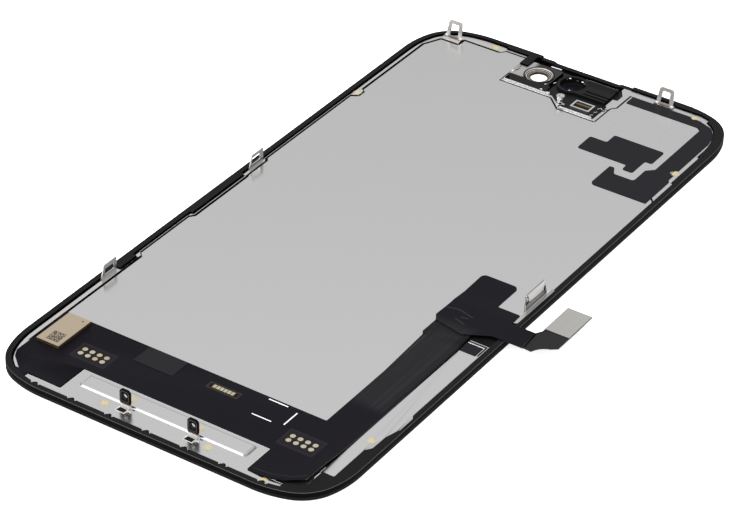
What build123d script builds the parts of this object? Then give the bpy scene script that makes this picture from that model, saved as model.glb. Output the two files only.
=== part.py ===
from build123d import *
import os
from math import cos, radians, sin, tan

# Screen outline, seen from the back: x to the right, y towards the camera end
width = 68.7
length = 143.9
corner_soft_r = 19.0
corner_tight_r = 8.6
corner_soft_turn = 20.0
glass_edge = 0.12

# Layers from the front face upwards
glass_t = 0.60
cell_t = 0.30
diffuser_t = 0.08
guide_t = 0.20
reflector_t = 0.07
steel_t = 0.15

# Black rim round the glass
rim_w = 1.05
rim_rise = 0.30
rim_gap = 0.20
rim_relief = 0.45
stack_gap = 0.10
seam_gap = 0.20

# Camera well at the top end, distances down from the top edge
well_left = -12.70
well_right = 9.95
well_camera_depth = 11.75
well_sensor_depth = 14.60
well_clear = 0.08
lip_rise = 0.35
lip_t = 0.14

# Front camera guide
camera_x = -7.30
camera_drop = 6.55
camera_bore_r = 1.70
camera_guide_r = 3.05
camera_bore_h = 0.40
camera_bore_ease = 0.10
guide_rise = 0.10
fit_clear = 0.05

# Moulded sensor holder
deck_t = 0.60
holder_rise = 0.62
sensor_x = 0.15
sensor_drop = 6.25
sensor_pit_r = 2.57
sensor_wall = 0.55
sensor_lens_r = 1.60
ridge_r = 0.95
ridge_drop = 3.90

# Sensor socket on the holder
socket_x = 5.52
socket_drop = well_sensor_depth - 2.90
socket_w = 4.10
socket_h = 2.70
socket_wall = 0.34
socket_t = 0.32

# Flexible circuit
flex_t = 0.12
flex_reach = 20.65
flex_side_in = 5.15
riser_lift = 0.20
tail_end = 3.85
head_w = 5.00
head_t = 0.20
stiffener_t = 0.12
tape_t = 0.08
pad_r = 0.50
pad_t = 0.03
glue_r = 0.50
glue_t = 0.05
dot_sides = 12

# Spring clips and screw tabs
sheet_t = 0.22
loop_w = 3.60
loop_top_w = 3.05
loop_h = 3.45
loop_leg = 0.57
loop_lean = 13.0
plate_clip_in = 1.33
plate_clip_w = 4.40
plate_clip_h = 2.75
plate_clip_taper = 0.85
long_clip_near = -5.79
long_clip_far = 1.74
long_clip_h = 3.60
long_near_taper = 0.60
long_far_taper = 1.15
long_ear_r = 0.42
long_leaf_h = 1.95
long_leaf_tilt = 12.0
tab_x = 6.93
tab_w = 2.10
tab_h = 2.50
tab_t = 0.45
tab_hole_r = 0.45
tab_lift = 1.05
tab_in = 4.80

# Lower steel plate
lower_top = 9.20
lower_side_in = 15.30
lower_foot_in = 8.35
lower_foot_h = 1.45
tooth_end_in = 2.84
tooth_spread = 0.70
tooth_h = 0.42
tooth_w = 0.75
tooth_root = 0.16
ridge_end_in = 1.90
emboss_in = 5.00
emboss_w = 3.35
emboss_h = 0.30

half_w = width / 2
half_l = length / 2
left = -half_w
right = half_w
top = half_l
bottom = -half_l
lower_half = half_w - lower_side_in
lower_foot_half = half_w - lower_foot_in
tooth_pitch = (lower_foot_half - tooth_end_in) / 3
ridge_len = 2 * (lower_half - ridge_end_in)

glass_top = glass_t
cell_top = glass_top + cell_t
diffuser_top = cell_top + diffuser_t
guide_top = diffuser_top + guide_t
stack_top = guide_top + reflector_t
steel_top = stack_top + steel_t
rim_top = steel_top + rim_rise
riser_right = right - flex_side_in
flex_top = steel_top + flex_t
deck_top = glass_top + deck_t


def screen_outline(inset):
    """Outline of the screen, pulled in by inset all round."""
    turn = radians(corner_soft_turn)
    soft_r = corner_soft_r - inset
    tight_r = corner_tight_r - inset
    reach = soft_r * (sin(turn) + 1 - cos(turn)) + tight_r * (cos(turn) - sin(turn))
    with BuildSketch(mode=Mode.PRIVATE) as outline:
        with BuildLine():
            side = Line((half_w - inset, 0), (half_w - inset, half_l - inset - reach))
            soft = JernArc(side @ 1, (0, 1), soft_r, corner_soft_turn)
            tight = JernArc(soft @ 1, soft % 1, tight_r, 90 - 2 * corner_soft_turn)
            last = JernArc(tight @ 1, tight % 1, soft_r, corner_soft_turn)
            Line(last @ 1, (0, half_l - inset))
            mirror(about=Plane.YZ)
            mirror(about=Plane.XZ)
        make_face()
    return outline.sketch


def polygon(points):
    """Closed outline through the points, with sharp corners."""
    with BuildSketch(mode=Mode.PRIVATE) as shape:
        with BuildLine():
            Polyline(*points, close=True)
        make_face()
    return shape.sketch


def filleted(points, radius):
    """Closed outline through the points, with rounded corners."""
    with BuildSketch(mode=Mode.PRIVATE) as shape:
        with BuildLine():
            FilletPolyline(*points, radius=radius, close=True)
        make_face()
    return shape.sketch


def box_face(x0, x1, y0, y1, grow=0.0):
    """Rectangle between two corners, grown by the allowance on every side."""
    with BuildSketch(mode=Mode.PRIVATE) as face:
        with Locations(((x0 + x1) / 2, (y0 + y1) / 2)):
            Rectangle(x1 - x0 + 2 * grow, y1 - y0 + 2 * grow)
    return face.sketch


def grown(shape, amount):
    """The shape with its edge moved out by amount."""
    with BuildSketch(mode=Mode.PRIVATE) as bigger:
        add(shape)
        offset(amount=amount, kind=Kind.INTERSECTION)
    return bigger.sketch


corner_block_x = right - 4.75
corner_block_y = bottom + 8.70


def rim_pads(grow):
    """Places where the rim reaches further in, over the display stack."""
    far = 3.0
    with BuildSketch(mode=Mode.PRIVATE) as pads:
        add(box_face(left - far, left + 1.60, -13.4, 2.4, grow))
        add(box_face(left - far, left + 1.85, -35.2, -30.6, grow))
        add(box_face(well_left - 4.90, well_left, top - 1.55, top + far, grow))
        add(box_face(right - 14.55, right - 6.35, top - 1.55, top + far, grow))
        add(box_face(right - 1.45, right + far, top - 25.75, top - 14.95, grow))
        add(filleted([(corner_block_x - grow, corner_block_y + grow),
                      (right - 2.45 - grow, corner_block_y + grow),
                      (right - 2.45 - grow, bottom + 17.35 + grow),
                      (right - 1.60 - grow, bottom + 18.60 + grow),
                      (right - 1.50 - grow, bottom + 22.40 + grow),
                      (right - 0.75 - grow, bottom + 25.20 + grow),
                      (right + far, bottom + 25.20 + grow),
                      (right + far, bottom - far),
                      (lower_foot_half + 0.15 - grow, bottom - far),
                      (lower_foot_half + 0.15 - grow, bottom + 2.65 + grow),
                      (corner_block_x - grow, bottom + 4.60 + grow)], 0.25))
        with BuildSketch(mode=Mode.PRIVATE) as crescent:
            add(screen_outline(rim_w / 2))
            add(screen_outline(rim_w + 0.85 + grow), mode=Mode.SUBTRACT)
            add(box_face(right - 6.35, right + far, top - 14.95, top + far, grow), mode=Mode.INTERSECT)
        add(crescent.sketch)
        add(screen_outline(0), mode=Mode.INTERSECT)
    return pads.sketch


def rim_reliefs(grow):
    """Stretches of the right side where the rim is narrower, with slanted ends."""
    inner = right - rim_w - rim_gap - 0.10
    deep = right - rim_w + rim_relief - grow
    with BuildSketch(mode=Mode.PRIVATE) as reliefs:
        for near_y, far_y in ((bottom + 24.10, bottom + 29.95), (long_clip_near - 0.25, long_clip_far + 0.70)):
            add(polygon([(inner, near_y - 0.90 + grow), (deep, near_y + 0.30 + grow),
                         (deep, far_y - 0.30 - grow), (inner, far_y + 0.60 - grow)]))
        add(rim_pads(grow), mode=Mode.SUBTRACT)
    return reliefs.sketch


def tooth_area(grow):
    """Pairs of small teeth along the lower edge of the lower plate."""
    root = bottom + rim_w + rim_gap / 2
    with BuildSketch(mode=Mode.PRIVATE) as teeth:
        with GridLocations(tooth_pitch, 0, 7, 1):
            with GridLocations(2 * tooth_spread, 0, 2, 1):
                with Locations((0, root - tooth_h / 2 + tooth_root / 2)):
                    Trapezoid(tooth_w + 2 * grow, tooth_h + tooth_root + 2 * grow, 60, rotation=180)
    return teeth.sketch


def camera_well():
    """Opening at the top end for the camera and the sensors."""
    near = top - well_sensor_depth
    mid = top - well_camera_depth
    return polygon([(well_left, top + 2), (well_left, mid), (-1.30, mid), (2.20, near),
                    (well_right - 0.45, near), (well_right - 0.45, top - 9.30),
                    (well_right - 0.95, top - 8.90), (well_right - 0.95, top - 6.20),
                    (well_right, top - 6.00), (well_right, top - 4.00),
                    (well_right - 1.20, top - 2.20), (well_right - 1.20, top + 2)])


def plate_area():
    """Back plate outline, with the jogs that its welded tabs need."""
    outer_in = 2.30
    slim_in = 1.65
    clip_in = 2.20
    low_in = 2.55
    seam = seam_gap
    well_side = well_left + well_clear - fit_clear
    near = top - well_sensor_depth - 0.75
    mid = top - well_camera_depth - 0.75
    under_tape = right - 3.15
    rim_side = right - rim_w - rim_gap
    left_edge = [(left + outer_in, top - 9.60), (left + outer_in, top - 30.95), (left + 3.00, top - 31.45),
                 (left + 3.00, top - 33.55), (left + slim_in, top - 34.45), (left + slim_in, 9.8),
                 (left + clip_in, 9.0), (left + clip_in, 3.2), (left + low_in - 0.1, 2.4),
                 (left + low_in - 0.1, -13.8), (left + slim_in, -14.8), (left + slim_in, -28.9),
                 (left + low_in, -29.9), (left + low_in, bottom + lower_top + 1.5)]
    lower_edge = [(right - 6.15, bottom + lower_top + 1.5), (right - 6.15, -9.4)]
    right_edge = [(rim_side, -9.4), (rim_side, top - 33.35), (under_tape, top - 31.35),
                  (under_tape, top - 9.0), (right - 9.50, top - 3.60), (right - 9.95, top - 3.10),
                  (well_right + seam + 1.05, top - 3.10)]
    well_edge = [(well_right + seam + 1.05, top - 8.45), (well_right + seam + 0.20, top - 9.45),
                 (well_right + seam + 0.15, near), (1.95, near), (-1.10, mid),
                 (well_left - 0.05, mid), (well_side, mid + 0.55),
                 (well_side, top - 2.60)]
    top_edge = [(well_left - 4.70, top - 2.60), (well_left - 5.50, top - 3.65), (left + 8.15, top - 3.65),
                (left + 8.05, top - 5.85), (left + 4.05, top - 5.85)]
    return polygon(left_edge + lower_edge + right_edge + well_edge + top_edge)


def lower_area():
    """Lower plate outline without its teeth."""
    edge = bottom + rim_w + rim_gap / 2
    foot = edge + lower_foot_h
    head = bottom + lower_top + 1.2
    outline = filleted([(-lower_half, head), (-lower_half, foot), (-lower_foot_half, foot),
                     (-lower_foot_half, edge + 0.45), (-lower_foot_half + 0.60, edge),
                     (lower_foot_half - 0.60, edge), (lower_foot_half, edge + 0.45),
                     (lower_foot_half, foot), (lower_half, foot), (lower_half, head)], 0.05)
    with BuildSketch(mode=Mode.PRIVATE) as area:
        add(outline)
        add(screen_outline(rim_w + rim_gap / 2), mode=Mode.INTERSECT)
    return area.sketch


def finish(part, name):
    """Label the piece and write it to its own file."""
    part.label = name
    export_step(part, "parts/" + name + ".step")


os.makedirs("parts", exist_ok=True)

# Cover glass, its front edge eased
with BuildPart() as cover_glass:
    with BuildSketch():
        add(screen_outline(0))
    extrude(amount=glass_t)
    chamfer(cover_glass.faces().sort_by(Axis.Z)[0].edges(), glass_edge)
finish(cover_glass.part, "cover_glass")


def stack_layer(base, thickness, inset):
    """One sheet of the display stack, cut away at the camera well."""
    with BuildPart() as layer:
        with BuildSketch(Plane.XY.offset(base)):
            add(screen_outline(rim_w + stack_gap + inset))
            add(camera_well(), mode=Mode.SUBTRACT)
        extrude(amount=thickness)
    return layer.part


led_bar_w = 2.2
led_bar_in = 3.2
led_bar_end_in = 9.35
led_bar_len = 2 * (half_w - led_bar_end_in)

finish(stack_layer(glass_top, cell_t, 0.0), "display_cell")
finish(stack_layer(cell_top, diffuser_t, 0.15), "diffuser_sheet")
finish(stack_layer(guide_top, reflector_t, 0.0), "reflector_sheet")

# Light guide with the LED bar in a slot along the bottom edge
with BuildPart() as light_guide:
    add(stack_layer(diffuser_top, guide_t, 0.15))
    with BuildSketch(Plane.XY.offset(diffuser_top)):
        with Locations((0, bottom + led_bar_in)):
            Rectangle(led_bar_len + 2 * fit_clear, led_bar_w + 2 * fit_clear)
    extrude(amount=guide_t, mode=Mode.SUBTRACT)
finish(light_guide.part, "light_guide")

with BuildPart() as led_bar:
    with BuildSketch(Plane.XY.offset(diffuser_top)):
        with Locations((0, bottom + led_bar_in)):
            Rectangle(led_bar_len, led_bar_w)
    extrude(amount=guide_t)
finish(led_bar.part, "led_bar")

# Black rim: a band round the glass, pads over the stack, lowered at the camera end
dip_step = rim_top - 0.38
dip_floor = glass_top + 0.45
block_right = -10.85
block_near = top - 4.95
with BuildPart() as rim_frame:
    with BuildSketch(Plane.XY.offset(glass_top)):
        add(screen_outline(0))
        add(screen_outline(rim_w), mode=Mode.SUBTRACT)
    extrude(amount=rim_top - glass_top)
    with BuildSketch(Plane.XY.offset(stack_top)):
        add(rim_pads(0))
    extrude(amount=rim_top - stack_top)
    with BuildSketch(Plane.XY.offset(stack_top)):
        add(tooth_area(rim_gap / 2))
    extrude(amount=rim_top, mode=Mode.SUBTRACT)
    with BuildSketch(Plane.XY.offset(stack_top)):
        add(rim_reliefs(0))
    extrude(amount=rim_top, mode=Mode.SUBTRACT)
    with BuildSketch(Plane.XY.offset(glass_top)):
        add(box_face(well_left + well_clear, block_right, block_near, top - rim_w / 2))
    extrude(amount=rim_top - glass_top)
    with BuildSketch(Plane.XZ.offset(-top + 3)):
        with BuildLine():
            Polyline((-10.5, rim_top + 1), (-10.1, dip_step), (-7.6, dip_step),
                     (-6.9, dip_floor), (6.9, dip_floor), (7.6, dip_step),
                     (10.1, dip_step), (10.5, rim_top + 1), close=True)
        make_face()
    extrude(amount=-6, mode=Mode.SUBTRACT)
finish(rim_frame.part, "rim_frame")


def flange_strip(x0, x1, y0, y1):
    """Part of the flange between the rim and the plates, inside a rectangle."""
    with BuildSketch(mode=Mode.PRIVATE) as strip:
        add(screen_outline(rim_w + rim_gap))
        add(rim_reliefs(rim_gap))
        add(rim_pads(rim_gap), mode=Mode.SUBTRACT)
        add(grown(plate_area(), seam_gap), mode=Mode.SUBTRACT)
        add(grown(lower_area(), seam_gap / 2), mode=Mode.SUBTRACT)
        add(camera_well(), mode=Mode.SUBTRACT)
        add(box_face(x0, x1, y0, y1), mode=Mode.INTERSECT)
    return strip.sketch


# Steel flange in strips round the edge, with upturned lips at the camera well
with BuildPart() as flange_left:
    with BuildSketch(Plane.XY.offset(stack_top)):
        add(flange_strip(left, well_left, bottom, top))
    extrude(amount=steel_t)
finish(flange_left.part, "flange_left")

with BuildPart() as flange_top_right:
    with BuildSketch(Plane.XY.offset(stack_top)):
        add(flange_strip(well_left + 0.01, right, top - 33.15, top))
    extrude(amount=steel_t)
    lip_mid = top - well_camera_depth
    lip_near = top - well_sensor_depth
    with BuildSketch(Plane.XY.offset(steel_top)):
        add(box_face(well_left + 0.60, -2.00, lip_mid - lip_t, lip_mid))
        add(box_face(3.00, well_right - 0.80, lip_near - lip_t, lip_near))
    extrude(amount=lip_rise)
finish(flange_top_right.part, "flange_top_right")

strip_left = right - 5.05
strip_top = -21.5
strip_bottom = corner_block_y + rim_gap
with BuildPart() as side_strip:
    with BuildSketch(Plane.XY.offset(stack_top)):
        add(flange_strip(strip_left, right, strip_bottom, strip_top))
        add(flange_strip(right - 1.87, right, strip_top - 0.5, strip_top + 3.60))
        add(box_face(strip_left, right - 1.40, strip_top + 2.85, strip_top + 3.60))
    extrude(amount=steel_t)
finish(side_strip.part, "side_strip")

with BuildPart() as flange_bottom_right:
    with BuildSketch(Plane.XY.offset(stack_top)):
        add(flange_strip(lower_half, riser_right, bottom + rim_w + lower_foot_h + seam_gap,
                         bottom + lower_top + 1.2))
        add(flange_strip(riser_right - 0.1, riser_right + 0.4, bottom + lower_foot_h, corner_block_y))
    extrude(amount=steel_t)
finish(flange_bottom_right.part, "flange_bottom_right")

with BuildPart() as back_plate:
    with BuildSketch(Plane.XY.offset(stack_top)):
        add(plate_area())
    extrude(amount=steel_t)
finish(back_plate.part, "back_plate")

# Lower plate: teeth along its edge and a long pressed ridge
with BuildPart() as lower_plate:
    with BuildSketch(Plane.XY.offset(stack_top)):
        add(lower_area())
        add(tooth_area(0))
    extrude(amount=steel_t)
    with BuildSketch(Plane.XY.offset(steel_top)):
        with Locations((0, bottom + emboss_in + emboss_w / 2)):
            RectangleRounded(ridge_len, emboss_w, 0.8)
    extrude(amount=emboss_h, taper=35)
finish(lower_plate.part, "lower_plate")


def loop_clip(x, drop, base_w, name):
    """Wire-like sheet loop that leans outwards, on a slotted foot."""
    foot_y = top - drop
    lean_plane = Plane(origin=(x, foot_y, steel_top), x_dir=(1, 0, 0),
                       z_dir=(0, -cos(radians(loop_lean)), sin(radians(loop_lean))))
    with BuildPart() as clip:
        with BuildSketch(Plane.XY.offset(steel_top)):
            with Locations((x, foot_y - 0.35)):
                Rectangle(base_w + 0.40, 1.10)
            with Locations((x, foot_y - 0.50)):
                Rectangle(base_w - 1.20, 0.32, mode=Mode.SUBTRACT)
            add(screen_outline(rim_w + rim_gap), mode=Mode.INTERSECT)
            add(rim_pads(rim_gap), mode=Mode.SUBTRACT)
        extrude(amount=sheet_t)
        with BuildSketch(lean_plane):
            with BuildLine():
                Polyline((-base_w / 2, 0.05), (base_w / 2, 0.05), (loop_top_w / 2, loop_h),
                         (-loop_top_w / 2, loop_h), close=True)
            make_face()
            with BuildLine(mode=Mode.PRIVATE) as hole:
                FilletPolyline((-base_w / 2 + loop_leg, -0.5), (base_w / 2 - loop_leg, -0.5),
                               (loop_top_w / 2 - loop_leg, loop_h - loop_leg),
                               (-loop_top_w / 2 + loop_leg, loop_h - loop_leg), radius=0.1, close=True)
            make_face(hole.line, mode=Mode.SUBTRACT)
        extrude(amount=sheet_t)
    finish(clip.part, name)
    return clip


clip_top_left = loop_clip(left + 5.80, 3.85, loop_w - 0.10, "clip_top_left")
clip_top_right = loop_clip(right - 16.25, 2.05, loop_w + 0.05, "clip_top_right")


def plate_clip(near_y, window_near, window_far, window_low, window_high, name):
    """Upright sheet at the left rim with a window, its near edge slanting."""
    with BuildPart() as clip:
        with BuildSketch(Plane.YZ.offset(left + plate_clip_in)):
            with BuildLine():
                Polyline((near_y, steel_top), (near_y + plate_clip_w, steel_top),
                         (near_y + plate_clip_w, steel_top + plate_clip_h),
                         (near_y + plate_clip_taper, steel_top + plate_clip_h), close=True)
            make_face()
            with BuildLine(mode=Mode.PRIVATE) as hole:
                FilletPolyline((near_y + window_near, steel_top + window_low),
                               (near_y + window_far, steel_top + window_low),
                               (near_y + window_far, steel_top + window_high),
                               (near_y + window_near + 0.25, steel_top + window_high),
                               radius=0.15, close=True)
            make_face(hole.line, mode=Mode.SUBTRACT)
        extrude(amount=sheet_t)
    finish(clip.part, name)
    return clip


clip_left_upper = plate_clip(4.30, 0.95, 3.35, 0.88, 2.25, "clip_left_upper")
clip_left_lower = plate_clip(-40.30, 0.90, 3.60, 1.15, 1.95, "clip_left_lower")

# Long clip at the right rim: a frame with a leaf hanging from its top bar
long_clip_x = right - 1.55
long_bar = 0.30
long_leg = 0.36
long_top = steel_top + long_clip_h
near_top = long_clip_near + long_near_taper
far_top = long_clip_far - long_far_taper
with BuildPart() as clip_right:
    with BuildSketch(Plane.YZ.offset(long_clip_x)):
        with BuildLine():
            Polyline((long_clip_near, steel_top), (long_clip_far, steel_top), (far_top, long_top),
                     (near_top, long_top), close=True)
        make_face()
        with Locations((near_top, long_top - long_ear_r)):
            RegularPolygon(long_ear_r, dot_sides)
        with BuildLine():
            Polyline((long_clip_near + long_leg, steel_top + long_bar),
                     (long_clip_far - long_leg, steel_top + long_bar),
                     (far_top - long_leg, long_top - long_bar),
                     (near_top + long_leg, long_top - long_bar), close=True)
        make_face(mode=Mode.SUBTRACT)
    extrude(amount=-sheet_t)
    leaf_tilt = radians(long_leaf_tilt)
    leaf_plane = Plane(origin=(long_clip_x, 0, long_top), x_dir=(0, 1, 0),
                       z_dir=(cos(leaf_tilt), 0, sin(leaf_tilt)))
    with BuildSketch(leaf_plane):
        with BuildLine():
            Polyline((near_top + 0.25, 0), (far_top - 0.10, 0), (far_top - 0.45, -long_leaf_h),
                     (near_top + 0.55, -long_leaf_h), close=True)
        make_face()
    extrude(amount=-sheet_t)
finish(clip_right.part, "clip_right")


def screw_tab(x, side):
    """Black tab with a screw hole, and the bent foot that carries it."""
    face_y = bottom + tab_in
    foot_top = steel_top + tab_lift
    half = tab_w / 2
    with BuildPart() as foot:
        with BuildSketch(Plane.XY.offset(steel_top)):
            with Locations((x, face_y - 0.78)):
                Rectangle(tab_w, 1.56)
            with Locations((x, face_y - 1.20)):
                Rectangle(0.70, 0.30, mode=Mode.SUBTRACT)
        extrude(amount=sheet_t)
        with BuildSketch(Plane.XY.offset(steel_top)):
            with Locations((x, face_y - tab_t / 2)):
                Rectangle(tab_w - 0.10, tab_t - 0.10)
        extrude(amount=tab_lift)
    finish(foot.part, "tab_foot_" + side)
    with BuildPart() as tab:
        with BuildSketch(Plane.XZ.offset(-face_y)):
            with BuildLine():
                Polyline((x - half, foot_top), (x + half, foot_top),
                         (x + half, foot_top + tab_h - 0.45), (x + half - 0.45, foot_top + tab_h),
                         (x - half + 0.35, foot_top + tab_h), (x - half, foot_top + tab_h - 0.35),
                         close=True)
            make_face()
            with Locations((x, foot_top + tab_h / 2)):
                Circle(tab_hole_r, mode=Mode.SUBTRACT)
        extrude(amount=tab_t)
        chamfer(tab.edges().filter_by(GeomType.CIRCLE).sort_by(Axis.Y)[0], 0.12)
    finish(tab.part, "screw_tab_" + side)


screw_tab(-tab_x, "left")
screw_tab(tab_x, "right")

# Flexible circuit: flat body, and a riser that lifts towards the tail
flex_head_y = bottom + flex_reach
riser_left = right - 12.05
ramp_start = -34.0
ramp_end = -20.0
riser_end = -13.0
with BuildPart() as flex_main:
    with BuildSketch(Plane.YZ.offset(left)):
        with BuildLine():
            Polyline((bottom, steel_top), (ramp_start, steel_top), (ramp_end, steel_top + riser_lift),
                     (riser_end, steel_top + riser_lift), (riser_end, flex_top + riser_lift),
                     (ramp_end, flex_top + riser_lift), (ramp_start, flex_top), (bottom, flex_top),
                     close=True)
        make_face()
    extrude(amount=width)
    with BuildSketch():
        with BuildLine():
            FilletPolyline((left + 2.55, flex_head_y), (riser_left, flex_head_y), (riser_left, ramp_start),
                           (riser_left - 0.45, ramp_end - 1.50), (riser_left - 0.95, ramp_end - 0.65),
                           (riser_left - 0.95, riser_end - 1),
                           (riser_right - 0.60, riser_end - 1), (riser_right, ramp_end - 2),
                           (riser_right, bottom + 5.05), (riser_right - 0.90, bottom + 4.30),
                           (riser_right - 3.00, bottom + 3.05), (lower_foot_half - 2.90, bottom + 2.32),
                           (lower_half + 0.15, bottom + 2.42),
                           (lower_half + 0.15, bottom + lower_top), (-lower_half - 0.15, bottom + lower_top),
                           (-lower_half - 0.15, bottom + 2.65), (left + 6.35, bottom + 2.85),
                           (left + 3.35, bottom + 5.45), (left + 2.55, bottom + 6.95),
                           radius=[0.3, 0.3, 0.3, 0.2, 0.2, 0.1, 0.1, 0.5, 0.3, 0.3, 0.5, 0.5, 0.2, 0.2,
                                   0.2, 0.2, 0.5, 0.5, 0.5],
                           close=True)
        make_face()
    extrude(amount=flex_top + 1, mode=Mode.INTERSECT)
finish(flex_main.part, "flex_main")

# Upper sheet: glued to the back plate, lifting over the rim into the tail
sheet_left = right - 13.85
sheet_flat = -6.0
sheet_rise = -9.6
tail_z = rim_top + 0.07
tail_x = right + tail_end
tail_near = -15.33
tail_far = -10.20
with BuildPart() as flex_tail:
    with BuildSketch(Plane.YZ.offset(sheet_left - 2)):
        with BuildLine():
            Polyline((2.0, steel_top), (sheet_flat, steel_top), (sheet_rise, tail_z), (-20.0, tail_z),
                     (-20.0, tail_z + flex_t), (sheet_rise, tail_z + flex_t),
                     (sheet_flat, flex_top), (2.0, flex_top), close=True)
        make_face()
    extrude(amount=25.0)
    with BuildSketch():
        with BuildLine():
            FilletPolyline((sheet_left, 0.40), (right - 6.50, 0.40), (right - 6.50, -6.90),
                           (right - 1.60, -6.90), (right - 1.60, tail_far),
                           (tail_x, tail_far), (tail_x, tail_near), (right - 2.30, tail_near),
                           (right - 6.95, -17.90), (sheet_left + 0.93, -16.65),
                           (sheet_left + 0.11, -15.30), (sheet_left + 0.25, -11.00),
                           radius=[1.0, 1.0, 0.5, 0.6, 0.1, 0.05, 0.05, 2.0, 0.1, 0.1, 0.2, 1.0],
                           close=True)
        make_face()
    extrude(amount=tail_z + 1, mode=Mode.INTERSECT)
finish(flex_tail.part, "flex_tail")

# Stiff head at the end of the tail, with its grey stiffener and the connector below
head_z = tail_z + flex_t
head_left = tail_x - 0.30
head_right = head_left + head_w + 0.45
head_far = -0.75
stiff_near = -8.60
with BuildPart() as flex_head:
    with BuildSketch(Plane.XY.offset(head_z)):
        with BuildLine():
            head_edge = Polyline((head_left + 0.55, head_far), (head_left + 0.55, tail_far + 0.9),
                                 (head_left, tail_far), (head_left, tail_near),
                                 (head_left + 2.00, tail_near - 0.15))
            notch = RadiusArc(head_edge @ 1, (head_right - 1.10, tail_near + 2.35), 3.6)
            Polyline(notch @ 1, (head_right, -12.10), (head_right, head_far), (head_left + 0.55, head_far))
        make_face()
    extrude(amount=head_t)
finish(flex_head.part, "flex_head")

with BuildPart() as tail_stiffener:
    with BuildSketch(Plane.XY.offset(head_z + head_t)):
        add(box_face(head_left + 0.55, head_right, stiff_near, head_far))
    extrude(amount=stiffener_t)
finish(tail_stiffener.part, "tail_stiffener")

# Board-to-board connector below the head
plug_w = 2.60
plug_len = 6.20
plug_h = 0.70
plug_wall = 0.45
with BuildPart() as board_connector:
    plug_x = (head_left + 0.55 + head_right) / 2
    plug_y = (stiff_near + head_far) / 2
    with BuildSketch(Plane.XY.offset(head_z)):
        with Locations((plug_x, plug_y)):
            RectangleRounded(plug_w, plug_len, 0.2)
    extrude(amount=-plug_h)
    with BuildSketch(Plane.XY.offset(head_z - plug_h)):
        with Locations((plug_x, plug_y)):
            Rectangle(plug_w - 2 * plug_wall, plug_len - 2 * plug_wall)
            Rectangle(plug_w - 4 * plug_wall, plug_len - 4 * plug_wall, mode=Mode.SUBTRACT)
    extrude(amount=0.4, mode=Mode.SUBTRACT)
finish(board_connector.part, "board_connector")

# Driver package at the left: a layered brown board and a tan top
chip_x = left + 5.80
chip_y = bottom + 15.65
chip_w = 4.90
chip_len = 9.20
board_t = 0.22
chip_t = 0.31
with BuildPart() as driver_board:
    with BuildSketch(Plane.XY.offset(flex_top)):
        with Locations((chip_x, chip_y)):
            Rectangle(chip_w, chip_len)
    extrude(amount=board_t)
finish(driver_board.part, "driver_board")

with BuildPart() as driver_chip:
    with BuildSketch(Plane.XY.offset(flex_top + board_t)):
        with Locations((chip_x, chip_y)):
            Rectangle(chip_w - 0.08, chip_len - 0.08)
    extrude(amount=chip_t)
    chamfer(driver_chip.faces().sort_by(Axis.Z)[-1].edges(), 0.05)
finish(driver_chip.part, "driver_chip")


def pad_row(x, y, pitch_x, pitch_y, count_x, count_y, name):
    """Bare round test pads on the flexible circuit."""
    with BuildPart() as pads:
        with BuildSketch(Plane.XY.offset(flex_top)):
            with Locations((x, y)):
                with GridLocations(pitch_x, pitch_y, count_x, count_y):
                    RegularPolygon(pad_r, dot_sides)
        extrude(amount=pad_t)
    finish(pads.part, name)


pad_row(left + 14.25, bottom + 13.00, 1.53, 1.30, 4, 2, "pads_left")
pad_row(right - 11.90, bottom + 13.30, 1.50, 1.30, 4, 2, "pads_right")

with BuildPart() as pads_center:
    with BuildSketch(Plane.XY.offset(flex_top)):
        with Locations((3.57, bottom + 17.74)):
            with GridLocations(0.745, 1.0, 6, 1):
                Rectangle(0.61, 0.87)
    extrude(amount=pad_t)
finish(pads_center.part, "pads_center")

with BuildPart() as dark_patch:
    with BuildSketch(Plane.XY.offset(flex_top)):
        with Locations((-9.85, bottom + 18.15)):
            RectangleRounded(8.10, 4.60, 0.3)
    extrude(amount=0.06)
finish(dark_patch.part, "dark_patch")


def from_top_right(insets):
    """Points given by their distances in from the right edge and down from the top."""
    return [(right - x_in, top - y_in) for x_in, y_in in insets]


# Black tapes on the back plate
with BuildPart() as tape_corner:
    with BuildSketch(Plane.XY.offset(steel_top)):
        with BuildLine():
            FilletPolyline(*from_top_right([
                (22.65, 5.75), (6.85, 5.75), (6.20, 6.45), (6.20, 23.55), (7.60, 24.95), (7.60, 29.25),
                (11.75, 29.25), (12.75, 27.35), (13.75, 27.35), (13.75, 34.70), (1.55, 34.70),
                (1.55, 26.55), (2.45, 25.15), (2.45, 9.95), (3.05, 6.75), (4.75, 4.55), (7.75, 3.45),
                (10.35, 3.15), (22.65, 3.15)]),
                           radius=[0.2, 0.3, 0.3, 0.4, 0.4, 0.6, 0.5, 0.3, 0.3, 1.0,
                                   0.8, 0.4, 0.4, 1.5, 1.5, 1.5, 1.0, 0.8, 0.2], close=True)
        make_face()
        add(screen_outline(rim_w + 0.85 + stack_gap), mode=Mode.INTERSECT)
        with Locations((right - 2.60, top - 22.45)):
            Circle(0.95, mode=Mode.SUBTRACT)
        with Locations((right - 9.25, top - 3.05)):
            Circle(glue_r + 2 * fit_clear, mode=Mode.SUBTRACT)
    extrude(amount=tape_t)
finish(tape_corner.part, "tape_corner")

with BuildPart() as tape_tee:
    with BuildSketch(Plane.XY.offset(steel_top)):
        add(filleted(from_top_right([
            (18.45, 17.35), (7.75, 17.35), (7.75, 22.10), (9.20, 22.10), (9.20, 26.95), (11.35, 26.95),
            (11.45, 25.15), (22.05, 25.15), (22.05, 20.35), (18.45, 20.35)]), 0.45))
    extrude(amount=tape_t)
finish(tape_tee.part, "tape_tee")

with BuildPart() as tape_small:
    with BuildSketch(Plane.XY.offset(stack_top)):
        add(box_face(right - 5.15, right - 1.95, strip_top + 0.05, strip_top + 2.70))
    extrude(amount=steel_t)
finish(tape_small.part, "tape_small")

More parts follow.
